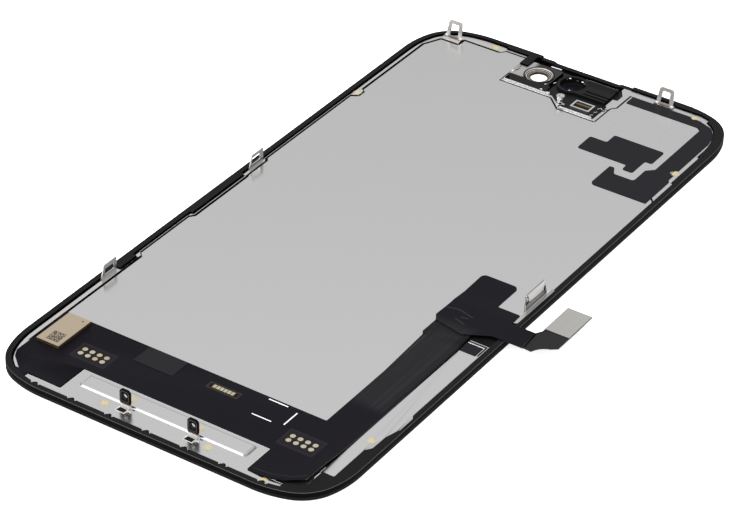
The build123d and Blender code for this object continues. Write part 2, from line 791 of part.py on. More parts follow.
# Camera bracket: a plate with two bent skirts, and the conical guide in its hole
bracket_left = well_left + well_clear
bracket_right = -4.00
bracket_near = top - 9.15
bracket_far = top - 2.75
guide_fit_r = 2.92
camera_y = top - camera_drop
with BuildPart() as camera_bracket:
    with BuildSketch(Plane.XY.offset(stack_top)):
        add(box_face(bracket_left, bracket_right, bracket_near, bracket_far))
        with Locations((camera_x, camera_y)):
            Circle(camera_guide_r)
            Circle(guide_fit_r, mode=Mode.SUBTRACT)
        with Locations((bracket_left + 0.55, top - 6.55)):
            Rectangle(0.35, 1.80, rotation=-12, mode=Mode.SUBTRACT)
        add(box_face(bracket_left - 1, block_right, block_near, top, fit_clear), mode=Mode.SUBTRACT)
    extrude(amount=steel_t)
    with BuildSketch(Plane.XY.offset(glass_top)):
        add(box_face(bracket_left, bracket_right, bracket_near, bracket_near + steel_t))
        add(box_face(block_right + fit_clear, bracket_right, bracket_far - steel_t, bracket_far))
        with Locations((camera_x, camera_y)):
            Circle(guide_fit_r, mode=Mode.SUBTRACT)
    extrude(amount=stack_top - glass_top)
finish(camera_bracket.part, "camera_bracket")

with BuildPart() as camera_guide:
    with BuildSketch(Plane.XZ.offset(-camera_y)):
        with BuildLine():
            Polyline((camera_x + camera_bore_r + camera_bore_ease, glass_top),
                     (camera_x + camera_bore_r, glass_top + camera_bore_ease),
                     (camera_x + camera_bore_r, glass_top + camera_bore_h),
                     (camera_x + 1.95, glass_top + camera_bore_h),
                     (camera_x + 2.42, steel_top - 0.20),
                     (camera_x + 2.60, steel_top - 0.20),
                     (camera_x + 2.78, steel_top + guide_rise),
                     (camera_x + camera_guide_r, steel_top + guide_rise),
                     (camera_x + camera_guide_r, steel_top),
                     (camera_x + guide_fit_r - fit_clear, steel_top),
                     (camera_x + guide_fit_r - fit_clear, stack_top - 0.10),
                     (camera_x + 2.20, glass_top + camera_bore_h - 0.20),
                     (camera_x + 2.20, glass_top), close=True)
        make_face()
    revolve(axis=Axis((camera_x, camera_y, 0), (0, 0, 1)))
finish(camera_guide.part, "camera_guide")

with BuildPart() as bracket_pin:
    with BuildSketch(Plane.XY.offset(steel_top)):
        with Locations((bracket_left + 0.35, top - 8.25)):
            Circle(0.20)
    extrude(amount=0.25)
finish(bracket_pin.part, "bracket_pin")

gasket_near = top - well_camera_depth + 0.20
with BuildPart() as camera_gasket:
    with BuildSketch(Plane.XY.offset(glass_top)):
        add(filleted([(-12.50, bracket_near - 0.05), (-3.20, bracket_near - 0.05),
                      (-3.00, gasket_near), (-10.90, gasket_near)], 0.2))
        with Locations((camera_x, camera_y)):
            Circle(camera_guide_r + fit_clear, mode=Mode.SUBTRACT)
    extrude(amount=1.0)
finish(camera_gasket.part, "camera_gasket")

# Moulded holder for the sensors: deck, pit with its wall, ribs and a half-round ridge
pit_y = top - sensor_drop
pit_top = deck_top + holder_rise
holder_left = sensor_x - sensor_pit_r - sensor_wall
ridge_y = top - ridge_drop
ridge_x0 = sensor_x + 2.25
ridge_x1 = well_right - 1.35
with BuildPart() as sensor_holder:
    with BuildSketch(Plane.XY.offset(glass_top)):
        add(camera_well())
        offset(amount=-well_clear, kind=Kind.INTERSECTION)
        add(box_face(holder_left, well_right, top - well_sensor_depth, top - 2.60), mode=Mode.INTERSECT)
    extrude(amount=deck_t)
    with BuildSketch(Plane.XY.offset(deck_top)):
        with Locations((sensor_x, pit_y)):
            Circle(sensor_pit_r + sensor_wall)
        add(box_face(sensor_x, ridge_x1, pit_y - 2.60, ridge_y))
        with Locations((sensor_x + 6.2, pit_y - 1.9), (sensor_x + 6.2, pit_y - 0.8)):
            Rectangle(5.6, 0.45, mode=Mode.SUBTRACT)
    extrude(amount=holder_rise)
    with BuildSketch(Plane.YZ.offset(ridge_x0)):
        with Locations((ridge_y, pit_top - 0.55)):
            Circle(ridge_r)
        add(box_face(ridge_y - ridge_r, ridge_y + ridge_r, deck_top, pit_top + ridge_r),
            mode=Mode.INTERSECT)
    extrude(amount=ridge_x1 - ridge_x0)
    with BuildSketch(Plane.XY.offset(glass_top + 0.10)):
        with Locations((sensor_x, pit_y)):
            Circle(sensor_pit_r)
    extrude(amount=3, mode=Mode.SUBTRACT)
finish(sensor_holder.part, "sensor_holder")

with BuildPart() as sensor_lens:
    with BuildSketch(Plane.XY.offset(glass_top + 0.10)):
        with Locations((sensor_x, pit_y)):
            Circle(sensor_lens_r)
    extrude(amount=0.15)
finish(sensor_lens.part, "sensor_lens")

# Sensor socket on the deck with its row of contacts
socket_y = top - socket_drop
with BuildPart() as sensor_socket:
    with BuildSketch(Plane.XY.offset(deck_top)):
        with Locations((socket_x, socket_y)):
            Rectangle(socket_w, socket_h)
            Rectangle(socket_w - 2 * socket_wall, socket_h - 2 * socket_wall, mode=Mode.SUBTRACT)
    extrude(amount=socket_t)
finish(sensor_socket.part, "sensor_socket")

with BuildPart() as sensor_contacts:
    with BuildSketch(Plane.XY.offset(deck_top)):
        with Locations((socket_x, socket_y + 0.30)):
            Rectangle(socket_w - 2 * socket_wall - 0.30, 0.55)
    extrude(amount=0.18)
finish(sensor_contacts.part, "sensor_contacts")

# Spring contact: foot on the deck, narrow leg and a round head with a dimple
contact_x = 1.35
contact_y = top - well_sensor_depth + 1.55
contact_h = 1.60
head_r = 0.80
with BuildPart() as ground_contact:
    with BuildSketch(Plane.XY.offset(deck_top)):
        add(box_face(contact_x - 0.59, contact_x + 0.95, contact_y - 0.28, contact_y + 0.22))
    extrude(amount=0.15)
    with BuildSketch(Plane.XY.offset(deck_top)):
        with Locations((contact_x - 0.50, contact_y)):
            Rectangle(0.18, 0.44)
    extrude(amount=contact_h)
    with BuildSketch(Plane.XY.offset(deck_top + contact_h)):
        with Locations((contact_x, contact_y)):
            Circle(head_r)
    extrude(amount=0.20)
    with BuildSketch(Plane.XY.offset(deck_top + contact_h + 0.20)):
        with Locations((contact_x, contact_y)):
            Circle(0.28)
    extrude(amount=-0.10, mode=Mode.SUBTRACT)
finish(ground_contact.part, "ground_contact")

# Dried glue dots on the steel
with BuildPart() as glue_spots:
    with BuildSketch(Plane.XY.offset(steel_top)):
        with Locations((left + 14.55, top - 2.35), (right - 9.25, top - 3.05), (right - 2.60, top - 22.45),
                       (left + 2.05, top - 32.65), (-10.50, bottom + 3.55), (10.60, bottom + 3.55),
                       (lower_foot_half - 3.00, bottom + 1.70), (right - 3.05, bottom + 20.45)):
            RegularPolygon(glue_r, dot_sides)
    extrude(amount=glue_t)
    with BuildSketch(Plane.XY.offset(steel_top + emboss_h)):
        with Locations((-7.00, bottom + 6.65), (6.80, bottom + 6.65)):
            RegularPolygon(glue_r, dot_sides)
    extrude(amount=glue_t)
finish(glue_spots.part, "glue_spots")
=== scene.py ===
"""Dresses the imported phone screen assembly: materials, small pieces, light and camera."""

import math

import bmesh
import bpy
from mathutils import Matrix, Vector


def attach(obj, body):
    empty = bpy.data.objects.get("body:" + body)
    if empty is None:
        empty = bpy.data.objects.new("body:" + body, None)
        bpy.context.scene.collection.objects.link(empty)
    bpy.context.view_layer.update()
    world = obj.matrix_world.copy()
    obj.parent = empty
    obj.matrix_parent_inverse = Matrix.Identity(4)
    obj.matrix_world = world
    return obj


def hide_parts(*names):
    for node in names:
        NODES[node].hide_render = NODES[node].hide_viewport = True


bl_info = {
    "name": "Phone Screen Assembly",
    "version": (1, 0, 0),
    "blender": (4, 5, 0),
    "location": "View3D > Sidebar > Screen Assembly",
    "description": "Finishes and small pieces of a phone screen assembly seen from its back",
    "category": "Object",
}

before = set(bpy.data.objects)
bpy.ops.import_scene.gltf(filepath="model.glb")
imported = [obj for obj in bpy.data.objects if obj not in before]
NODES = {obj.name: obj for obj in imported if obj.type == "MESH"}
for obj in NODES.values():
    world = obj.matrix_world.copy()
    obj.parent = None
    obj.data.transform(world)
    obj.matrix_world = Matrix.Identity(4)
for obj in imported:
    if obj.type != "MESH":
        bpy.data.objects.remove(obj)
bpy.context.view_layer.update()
MM = 0.001

# Fixed heights and places of the assembly, in mm
STEEL_TOP = 1.40
RAISED_TOP = 1.70
SKIN = 0.001
CAMERA_HOLE = (-7.3, 65.4)
TAB_X = 6.93
TAB_HOLE_Z = 3.70
CLIP_FACE = 32.80
TOOTH_PITCH = 7.72
MERGE_LIMIT = 1e-6


# Shader nodes

class Wire:
    """One socket of a node tree, or a plain number, with arithmetic on it."""

    def __init__(self, shop, link):
        self.shop = shop
        self.link = link

    def math(self, operation, *others):
        node = self.shop.add("ShaderNodeMath", {"operation": operation},
                             dict(enumerate((self,) + others)))
        return Wire(self.shop, node.outputs[0])

    def __add__(self, other):
        return self.math("ADD", other)

    __radd__ = __add__

    def __sub__(self, other):
        return self.math("SUBTRACT", other)

    def __rsub__(self, other):
        return Wire(self.shop, other).math("SUBTRACT", self)

    def __mul__(self, other):
        return self.math("MULTIPLY", other)

    __rmul__ = __mul__

    def __truediv__(self, other):
        return self.math("DIVIDE", other)

    def __gt__(self, other):
        return self.math("GREATER_THAN", other)

    def __pow__(self, other):
        return self.math("POWER", other)

    def abs(self):
        return self.math("ABSOLUTE")

    def min(self, other):
        return self.math("MINIMUM", other)

    def max(self, other):
        return self.math("MAXIMUM", other)

    def smooth(self, low, high):
        """Smooth step from low to high, or down when low is above high."""
        node = self.shop.add("ShaderNodeMapRange", {"interpolation_type": "SMOOTHSTEP"},
                             {"Value": self, "From Min": low, "From Max": high})
        return Wire(self.shop, node.outputs[0])

    def near(self, value, half, soft):
        """1 within half of a value, fading out over soft."""
        return (self - value).abs().smooth(half + soft, half)


class Shop:
    """A node tree, with one way to add a node to it."""

    def __init__(self, tree):
        self.tree = tree

    def add(self, kind, settings, inputs):
        """Any node: its settings first, then values or links for its sockets."""
        node = self.tree.nodes.new(kind)
        for key, value in settings.items():
            setattr(node, key, value)
        for key, value in inputs.items():
            socket = node.inputs[key]
            value = value.link if isinstance(value, Wire) else value
            if isinstance(value, bpy.types.NodeSocket):
                self.tree.links.new(value, socket)
            else:
                socket.default_value = value
        return node


class Finish(Shop):
    """A material under construction: one shader, and the nodes that feed it."""

    def __init__(self, name, color, rough, metal=0.0, gloss=0.08):
        self.material = bpy.data.materials.new(name)
        self.material.use_nodes = True
        super().__init__(self.material.node_tree)
        self.tree.nodes.clear()
        self.shader = self.add("ShaderNodeBsdfPrincipled", {}, {
            "Base Color": rgba(color), "Roughness": rough, "Metallic": metal,
            "Specular IOR Level": gloss})
        self.add("ShaderNodeOutputMaterial", {}, {"Surface": self.shader.outputs[0]})
        spot = self.add("ShaderNodeTexCoord", {}, {})
        split = self.add("ShaderNodeSeparateXYZ", {}, {"Vector": spot.outputs["Object"]})
        self.spot = spot.outputs["Object"]
        self.xyz = [Wire(self, split.outputs[i]) / MM for i in range(3)]

    def stretched(self, sx, sy, sz, turn=0.0):
        """Object coordinates scaled along each axis, for a brushed or rolled grain."""
        node = self.add("ShaderNodeMapping", {}, {
            "Vector": self.spot, "Scale": (sx, sy, sz), "Rotation": (0.0, 0.0, turn)})
        return node.outputs[0]

    def noise(self, scale, detail=3.0, where=None, seed=0.0):
        """Clouds between 0 and 1."""
        node = self.add("ShaderNodeTexNoise", {"noise_dimensions": "4D"}, {
            "Vector": where or self.spot, "W": seed, "Scale": scale, "Detail": detail,
            "Roughness": 0.55})
        return Wire(self, node.outputs["Fac"])

    def cells(self, scale):
        """Distance from the nearest of many scattered points."""
        node = self.add("ShaderNodeTexVoronoi", {"feature": "F1"},
                        {"Vector": self.spot, "Scale": scale})
        return Wire(self, node.outputs["Distance"])

    def blend(self, factor, first, second):
        """Mix of two colours or colour wires."""
        first, second = (color if isinstance(color, Wire) else rgba(color)
                         for color in (first, second))
        node = self.add("ShaderNodeMix", {"data_type": "RGBA"}, {0: factor, 6: first, 7: second})
        return Wire(self, node.outputs[2])

    def feed(self, socket, wire):
        self.tree.links.new(wire.link, self.shader.inputs[socket])

    def paint(self, color):
        """Lays a colour wire, and returns it for the next coat."""
        self.feed("Base Color", color)
        return color

    def bump(self, height, strength, distance):
        node = self.add("ShaderNodeBump", {}, {
            "Strength": strength, "Distance": distance, "Height": height})
        self.feed("Normal", Wire(self, node.outputs["Normal"]))

    def facing(self):
        """The three parts of the surface's own direction."""
        spot = self.add("ShaderNodeNewGeometry", {}, {})
        split = self.add("ShaderNodeSeparateXYZ", {}, {"Vector": spot.outputs["True Normal"]})
        return [Wire(self, split.outputs[i]) for i in range(3)]

    def upright(self):
        """1 on faces that stand upright, 0 on level ones."""
        return self.facing()[2].abs().smooth(0.93, 0.78)

    def away(self, cx, cy):
        """Distance in mm from an upright axis."""
        x, y, _z = self.xyz
        dx, dy = x - cx, y - cy
        return (dx * dx + dy * dy) ** 0.5

    def dot(self, cx, cy, radius, soft=0.08):
        """1 inside a circle given in mm, with a soft edge."""
        return self.away(cx, cy).smooth(radius + soft / 2, radius - soft / 2)

    def beyond(self, x0, x1, y0, y1):
        """Distance in mm outside a rectangle, below 0 inside it."""
        x, y, _z = self.xyz
        across = (x - (x0 + x1) / 2).abs() - (x1 - x0) / 2
        along = (y - (y0 + y1) / 2).abs() - (y1 - y0) / 2
        return across.max(along)

    def inside(self, x0, x1, y0, y1, soft):
        """1 inside a rectangle given in mm, with a soft edge."""
        return self.beyond(x0, x1, y0, y1).smooth(soft / 2, -soft / 2)

    def outline(self, x0, x1, y0, y1, half, soft):
        """1 along the border of a rectangle in mm."""
        return self.beyond(x0, x1, y0, y1).near(0.0, half, soft)

    def stroke(self, ax, ay, bx, by, half, soft):
        """1 along a straight line between two points in mm."""
        x, y, _z = self.xyz
        u, v, du, dv = x - ax, y - ay, bx - ax, by - ay
        along = ((u * du + v * dv) / (du * du + dv * dv)).max(0.0).min(1.0)
        off_u, off_v = u - along * du, v - along * dv
        return ((off_u * off_u + off_v * off_v) ** 0.5).smooth(half + soft, half)

    def ruled(self, coat, strokes, half, soft, strength, color):
        """A coat with straight lines drawn on it, each given by its two ends in mm."""
        for ends in strokes:
            coat = self.blend(self.stroke(*ends, half, soft) * strength, coat, color)
        return coat


def rgba(color):
    return (color[0], color[1], color[2], 1.0)


def tone(level, warm=0.0):
    """A grey in linear light from a display level of 0 to 255, with a warm or cool cast."""
    def linear(v):
        v = max(0.0, min(1.0, v / 255))
        return v / 12.92 if v <= 0.04045 else ((v + 0.055) / 1.055) ** 2.4
    return (linear(level + warm), linear(level), linear(level - warm))


def hexed(text):
    """Linear colour from a web colour."""
    return tuple(tone(int(text[i:i + 2], 16))[0] for i in (1, 3, 5))


# Settings a user would change

class ScreenColors(bpy.types.PropertyGroup):
    """Colours of the assembly's main finishes."""

    plate: bpy.props.FloatVectorProperty(
        name="Back plate", description="Colour of the large steel plate",
        default=tone(220), subtype="COLOR", min=0.0, max=1.0)
    strip: bpy.props.FloatVectorProperty(
        name="Strips", description="Colour of the flange strips",
        default=tone(222), subtype="COLOR", min=0.0, max=1.0)
    rim: bpy.props.FloatVectorProperty(
        name="Rim", description="Colour of the moulded rim",
        default=hexed("#171718"), subtype="COLOR", min=0.0, max=1.0)
    flex: bpy.props.FloatVectorProperty(
        name="Flex", description="Colour of the flexible circuit",
        default=hexed("#0f0d13"), subtype="COLOR", min=0.0, max=1.0)
    chip: bpy.props.FloatVectorProperty(
        name="Driver top", description="Colour of the driver package",
        default=hexed("#978a79"), subtype="COLOR", min=0.0, max=1.0)


class ScreenStage(bpy.types.PropertyGroup):
    """Floor, light and camera."""

    lens: bpy.props.FloatProperty(
        name="Lens", description="Focal length of the camera on a 36 mm sensor",
        default=158.7, unit="CAMERA")
    sky: bpy.props.FloatProperty(
        name="Sky", description="How much brighter the sky grows with its height",
        default=1.06, min=0.0)
    haze: bpy.props.FloatProperty(
        name="Haze", description="Brightness of the sky at the horizon",
        default=0.14, min=0.0)
    key: bpy.props.FloatProperty(
        name="Key", description="Power of the panel at the left front",
        default=7.0, min=0.0, unit="POWER")
    top: bpy.props.FloatProperty(
        name="Top", description="Power of the soft panel overhead",
        default=11.0, min=0.0, unit="POWER")


def colors():
    return bpy.context.scene.screen_colors


def dress(names, finish):
    """Gives CAD nodes one finish."""
    for name in names:
        mesh = NODES[name].data
        mesh.materials.clear()
        mesh.materials.append(finish.material)


# Modelling

def fresh():
    """Object mode with nothing selected."""
    if bpy.context.object and bpy.context.object.mode != "OBJECT":
        bpy.ops.object.mode_set(mode="OBJECT")
    bpy.ops.object.select_all(action="DESELECT")


def settle(name):
    """Names the new primitive and puts its place in its mesh."""
    piece = bpy.context.object
    piece.name = name
    bpy.ops.object.transform_apply(location=True, rotation=True, scale=True)
    return piece


def block(name, low, high):
    """Cube between two corners in mm."""
    fresh()
    bpy.ops.mesh.primitive_cube_add(size=1.0,
                                    location=[(a + b) / 2 * MM for a, b in zip(low, high)],
                                    scale=[(b - a) * MM for a, b in zip(low, high)])
    return settle(name)


def disc(name, spot, radius, depth, sides, tilt=(0.0, 0.0, 0.0)):
    """Cylinder with its middle at a spot in mm."""
    fresh()
    bpy.ops.mesh.primitive_cylinder_add(vertices=sides, radius=radius * MM, depth=depth * MM,
                                        location=[v * MM for v in spot], rotation=tilt)
    return settle(name)


def anything(*_place):
    return True


def pick(piece, kind, test):
    """Edit mode, with the parts selected whose place in mm and normal pass the test."""
    bpy.context.view_layer.objects.active = piece
    if piece.mode != "EDIT":
        bpy.ops.object.mode_set(mode="EDIT")
    bpy.ops.mesh.select_mode(type=kind)
    bpy.ops.mesh.select_all(action="DESELECT")
    mesh = bmesh.from_edit_mesh(piece.data)
    for part in {"VERT": mesh.verts, "EDGE": mesh.edges, "FACE": mesh.faces}[kind]:
        ends = [part] if kind == "VERT" else part.verts
        middle = sum((v.co for v in ends), Vector()) / len(ends)
        if test(middle / MM, ends[0].normal if kind == "EDGE" else part.normal):
            part.select_set(True)
    mesh.select_flush_mode()
    bmesh.update_edit_mesh(piece.data)


def nudge(piece, test, by):
    """Moves the vertices that pass the test by a step in mm."""
    pick(piece, "VERT", lambda spot, _normal: test(spot))
    bpy.ops.transform.translate(value=[v * MM for v in by])


def slice_at(piece, spot, normal, test):
    """Cuts the faces that pass the test with a plane through a spot in mm."""
    pick(piece, "FACE", lambda middle, _normal: test(middle))
    bpy.ops.mesh.bisect(plane_co=[v * MM for v in spot], plane_no=normal)


def ribbon(name, path, across, thick):
    """Strip of sheet along a path in mm: its end face, extruded from bend to bend."""
    fresh()
    side, rise = Vector(across), Vector((0.0, 0.0, thick))
    turn = Matrix([v.normalized() for v in (side, rise, side.cross(rise))]).transposed()
    bpy.ops.mesh.primitive_plane_add(size=1.0, location=Vector(path[0]) * MM,
                                     rotation=turn.to_euler())
    bpy.context.object.scale = (side.length * MM, rise.length * MM, 1.0)
    piece = settle(name)
    bpy.ops.object.mode_set(mode="EDIT")
    bpy.ops.mesh.select_all(action="SELECT")
    for here, there in zip(path, path[1:]):
        step = (Vector(there) - Vector(here)) * MM
        bpy.ops.mesh.extrude_region_move(TRANSFORM_OT_translate={"value": step})
    bpy.ops.mesh.select_all(action="SELECT")
    bpy.ops.mesh.normals_make_consistent(inside=False)
    return piece


def merged_copy(name, node):
    """Copy of a CAD node's mesh with its doubles merged."""
    fresh()
    piece = bpy.data.objects.new(name, NODES[node].data.copy())
    bpy.context.scene.collection.objects.link(piece)
    pick(piece, "VERT", anything)
    bpy.ops.mesh.remove_doubles(threshold=MERGE_LIMIT)
    return piece


def copied(name, piece, shift):
    """Copy of a shape with its own mesh, moved by a step in mm."""
    fresh()
    piece.select_set(True)
    bpy.context.view_layer.objects.active = piece
    bpy.ops.object.duplicate()
    bpy.ops.transform.translate(value=[v * MM for v in shift])
    return settle(name)


def joined(name, pieces):
    """Several shapes made one piece."""
    fresh()
    for piece in pieces:
        piece.select_set(True)
    bpy.context.view_layer.objects.active = pieces[0]
    bpy.ops.object.join()
    pieces[0].name = name
    return pieces[0]


def coated(piece, finish, ease=0.0, angle=40):
    """Gives a shape its finish, after easing its edges."""
    fresh()
    piece.select_set(True)
    bpy.context.view_layer.objects.active = piece
    if ease:
        bpy.ops.object.modifier_add(type="BEVEL")
        rounding = piece.modifiers[-1]
        rounding.width = ease * MM
        rounding.segments = 2
        rounding.limit_method = "ANGLE"
        rounding.angle_limit = math.radians(35)
        bpy.ops.object.modifier_apply(modifier=rounding.name)
    bpy.ops.object.shade_smooth_by_angle(angle=math.radians(angle))
    piece.data.materials.clear()
    piece.data.materials.append(finish.material)
    return piece


def strips(name, runs, height, across, thick, finish, ease=0.0, wave=0.0):
    """Coated ribbons along runs of (x, y), level or in waves, all in mm."""
    paths = [[(x, y, height + wave * (i % 2)) for i, (x, y) in enumerate(run)] for run in runs]
    return [coated(ribbon(name, path, across, thick), finish, ease) for path in paths]


def hand_over(piece, slot, *nodes):
    """Gives a finished piece to the frame, in place of the CAD nodes named."""
    fresh()
    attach(piece, "root")
    if nodes:
        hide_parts(*nodes)


def between(table, value):
    """Straight-line reading from a table of pairs in rising order."""
    if value <= table[0][0]:
        return table[0][1]
    for (a, low), (b, high) in zip(table, table[1:]):
        if value <= b:
            return low + (high - low) * (value - a) / (b - a)
    return table[-1][1]


def soften(names, width):
    """Small eased edge on CAD nodes."""
    for name in names:
        node = NODES[name]
        weld = node.modifiers.new("Joined", "WELD")
        weld.merge_threshold = MERGE_LIMIT
        rounding = node.modifiers.new("Eased", "BEVEL")
        rounding.width = width * MM
        rounding.segments = 1
        rounding.use_clamp_overlap = False
        rounding.limit_method = "ANGLE"
        rounding.angle_limit = math.radians(40)


# Metal, with the scales of its patterns per metre

GRAIN_SCALE, CLOUD_SCALE, BROAD_SCALE = 900.0, 22.0, 60.0


def steel(name, color, rough, grain=0.04, turn=0.0, wall_shade=None, wall_top=9.0):
    """Rolled sheet steel: fine grain one way, faint clouds, and its upright faces below a height
    painted in a dark colour as shade in the seams.
    """
    f = Finish(name, color, rough, 1.0)
    lines = f.noise(GRAIN_SCALE, 2.0, where=f.stretched(0.03, 1.0, 1.0, turn))
    clouds = f.noise(CLOUD_SCALE, 3.0, seed=2.0)
    shade = (lines - 0.5) * grain + (clouds - 0.5) * 0.04 + 0.5
    f.coat = f.blend(shade, [c * 0.86 for c in color], [min(1.0, c * 1.14) for c in color])
    # Painted shade: upright faces below wall_top take the dark colour, so the seams between parts
    # look shaded.
    if wall_shade:
        cut = f.upright() * f.xyz[2].smooth(wall_top + 0.02, wall_top)
        f.coat = f.blend(cut, f.coat, wall_shade)
    f.paint(f.coat)
    f.feed("Roughness", (clouds - 0.5) * 0.06 + (lines - 0.5) * 0.05 + rough)
    f.bump(lines, 0.01, 0.00001)
    return f


def plastic(name, color, rough, speck, bump=0.08, scale=2600.0, gloss=0.08):
    """Moulded or coated surface with a fine grain."""
    f = Finish(name, color, rough, gloss=gloss)
    fine = f.noise(scale, 4.0)
    broad = f.noise(BROAD_SCALE, 2.0, seed=4.0)
    mix = (fine - 0.5) * 0.5 + (broad - 0.5) * 0.5 + 0.5
    f.coat = f.paint(f.blend(mix, [max(0.0, c - speck * 0.5) for c in color],
                             [c + speck for c in color]))
    f.feed("Roughness", (fine - 0.5) * 0.12 + (broad - 0.5) * 0.1 + rough)
    f.bump(fine, bump, 0.00003)
    return f


def silver_bits(name, level=236):
    """Bright bare metal of small folded parts, soft enough to stay light from every side."""
    return plastic(name, tone(level, 2), 0.35, 0.03, 0.1, 1200.0, gloss=0.5)


def strip_steel():
    """Flange strips: painted highlights on the lip tops and eased edges, painted shade on their
    other upright faces, and a dark band painted as the shade of the opening on the bar beside the
    tail.
    """
    f = steel("StripSteel", colors().strip, 0.32)
    height = f.xyz[2]
    # Painted shade: a dark band on the bar beside the tail and down its end, where the opening
    # under the tail lies.
    channel_shade = f.inside(29.0, 32.95, -18.47, -18.08, 0.04)
    end = f.inside(32.65, 32.95, -21.3, -18.08, 0.04)
    coat = f.blend(channel_shade.max(end), f.coat, tone(14))
    # Painted highlight on the eased edges and the lip tops, and painted shade on the other upright
    # faces.
    eased = f.upright() * height.smooth(1.29, 1.31) * height.smooth(1.47, 1.45)
    coat = f.blend(f.upright() * (1.0 - eased), coat, tone(12))
    f.paint(f.blend(height.smooth(1.54, 1.57).max(eased), coat, tone(246)))
    f.feed("Roughness", eased * 0.25 + 0.32)
    return f


# Painted highlight lines on the lower plate along the film's border, each as (x0, y0, x1, y1)
FILM_BORDER_HIGHLIGHTS = ((-19.08, -62.87, -19.08, -69.42), (-19.08, -69.42, -26.3, -69.27),
               (-19.08, -62.87, 19.08, -62.87), (19.08, -62.87, 19.08, -69.3))


def ridge_steel():
    """Lower plate: painted shade lines round the pressed ridge except along its near edge, painted
    highlights along the film's border and the ridge's near edge, and painted shade on its low
    upright faces.
    """
    f = steel("LowerPlateSteel", tone(219), 0.22, turn=math.pi / 2, wall_shade=tone(60), wall_top=1.42)
    _x, y, z = f.xyz
    # Painted shade: dark lines on the ridge's bevels, left off along its near edge.
    outer = f.outline(-17.12, 17.12, -66.92, -63.62, 0.03, 0.06)
    inner = f.outline(-16.7, 16.7, -66.7, -63.95, 0.03, 0.05)
    lines = (outer + inner).min(1.0) * y.smooth(-66.4, -66.0)
    coat = f.blend(lines * 0.55, f.coat, tone(70))
    # Painted highlights: light lines along the film's border and along the ridge's near edge.
    coat = f.ruled(coat, FILM_BORDER_HIGHLIGHTS, 0.08, 0.08, 0.7, tone(252))
    coat = f.ruled(coat, ((-16.8, -66.98, 16.8, -66.98),), 0.07, 0.08, 1.0, tone(255))
    # The ridge's slope takes a darker colour than the plate, so that its highlight is held down.
    slope = f.upright() * z.smooth(1.43, 1.46)
    f.paint(f.blend(slope, coat, tone(205)))
    f.feed("Roughness", slope * 0.2 + 0.22)
    return f


def pad_gold():
    """Bare pads, cream with a slightly tinted middle."""
    f = steel("PadGold", hexed("#dfd8bd"), 0.42)
    tint = f.noise(500.0, 1.0, seed=7.0).smooth(0.45, 0.6)
    f.paint(f.blend(tint, f.coat, hexed("#dcc9a6")))
    return f


def bracket_steel():
    """Camera bracket: bright at its free end, darker towards the sensors."""
    f = steel("BracketSteel", tone(205, 1), 0.34, grain=0.3)
    f.paint(f.blend(f.xyz[0].smooth(-10.2, -9.0), f.coat, tone(74, 1)))
    return f


def guide_steel():
    """Turned steps of the camera guide: painted highlight rings on the step edges, on dark steel
    with brown mottling painted as reflection, ringed by a dark band painted as shade.
    """
    f = Finish("GuideSteel", tone(70), 0.5, 0.4)
    away = f.away(*CAMERA_HOLE)
    # Painted reflection: brown mottling on the dark steel.
    brown = f.noise(260.0, 2.0, seed=3.0).smooth(0.42, 0.62)
    coat = f.blend(brown, tone(22, 1), hexed("#4a3a2a"))
    # Painted highlights: light rings on the edges of the turned steps.
    for radius, half, color in ((1.93, 0.02, tone(150, 6)), (2.14, 0.04, hexed("#a48d70")),
                                (2.42, 0.035, tone(215)), (2.70, 0.035, tone(215))):
        coat = f.blend(away.near(radius, half, 0.04), coat, color)
    # Painted shade: a dark band round the guide's outer edge.
    f.paint(f.blend(away.smooth(2.88, 2.92), coat, tone(20)))
    f.feed("Roughness", f.noise(200.0, 1.0) * 0.1 + 0.45)
    return f


def contact_row():
    """Fine contacts side by side, gold on brown."""
    f = Finish("ContactGold", hexed("#b79b6a"), 0.3, 0.9)
    stripe = (f.xyz[0] * 3.6).math("FRACT")
    coat = f.blend((stripe - 0.5).abs().smooth(0.2, 0.3), hexed("#a98f63"), hexed("#6a5233"))
    coat = f.blend(f.inside(3.0, 8.0, 59.98, 60.22, 0.06), coat, tone(225))
    f.paint(f.blend(f.inside(3.0, 8.0, 60.30, 60.50, 0.06), coat, tone(14)))
    return f


class SCREEN_OT_metal(bpy.types.Operator):
    """Steel of the plates, strips, brackets, camera guide, contacts and pads"""

    bl_idname = "screen.metal"
    bl_label = "Metal finishes"

    def execute(self, context):
        soften(["back_plate"], 0.17)
        soften(["flange_left"], 0.16)
        soften(["flange_bottom_right", "side_strip"], 0.05)
        dress(["back_plate"], steel("BackPlateSteel", colors().plate, 0.2, wall_shade=tone(12)))
        dress(["lower_plate"], ridge_steel())
        dress(["flange_left"], steel("FlangeSteel", tone(228, 2), 0.36, wall_shade=tone(10)))
        dress(["flange_top_right", "flange_bottom_right", "side_strip"], strip_steel())
        dress(["bracket_pin"], silver_bits("PinSilver"))
        dress(["camera_bracket"], bracket_steel())
        dress(["camera_guide"], guide_steel())
        dress(["sensor_socket"], steel("SocketSteel", tone(232), 0.3))
        dress(["sensor_contacts"], contact_row())
        dress(["ground_contact"], steel("ContactSilver", tone(214), 0.2))
        dress(["pads_left", "pads_right", "pads_center"], pad_gold())
        return {"FINISHED"}


# Plastic and film, with places in mm

PAD_FIELDS = ((-23.6, -16.6, -61.0, -56.9), (18.9, 25.9, -60.9, -56.5))
RISER = (17.5, 28.6, -44.0, -16.0)
RISER_LINES = ((19.6, -34.0, 19.5, -18.0), (20.6, -30.0, 20.4, -18.0), (22.6, -28.0, 22.5, -20.0))
COVER_CREASES = ((20.6, -12.4, 23.3, -11.8), (23.3, -11.8, 26.4, -12.6),
                 (24.1, -14.5, 26.2, -15.1), (24.6, -13.6, 25.9, -13.3))
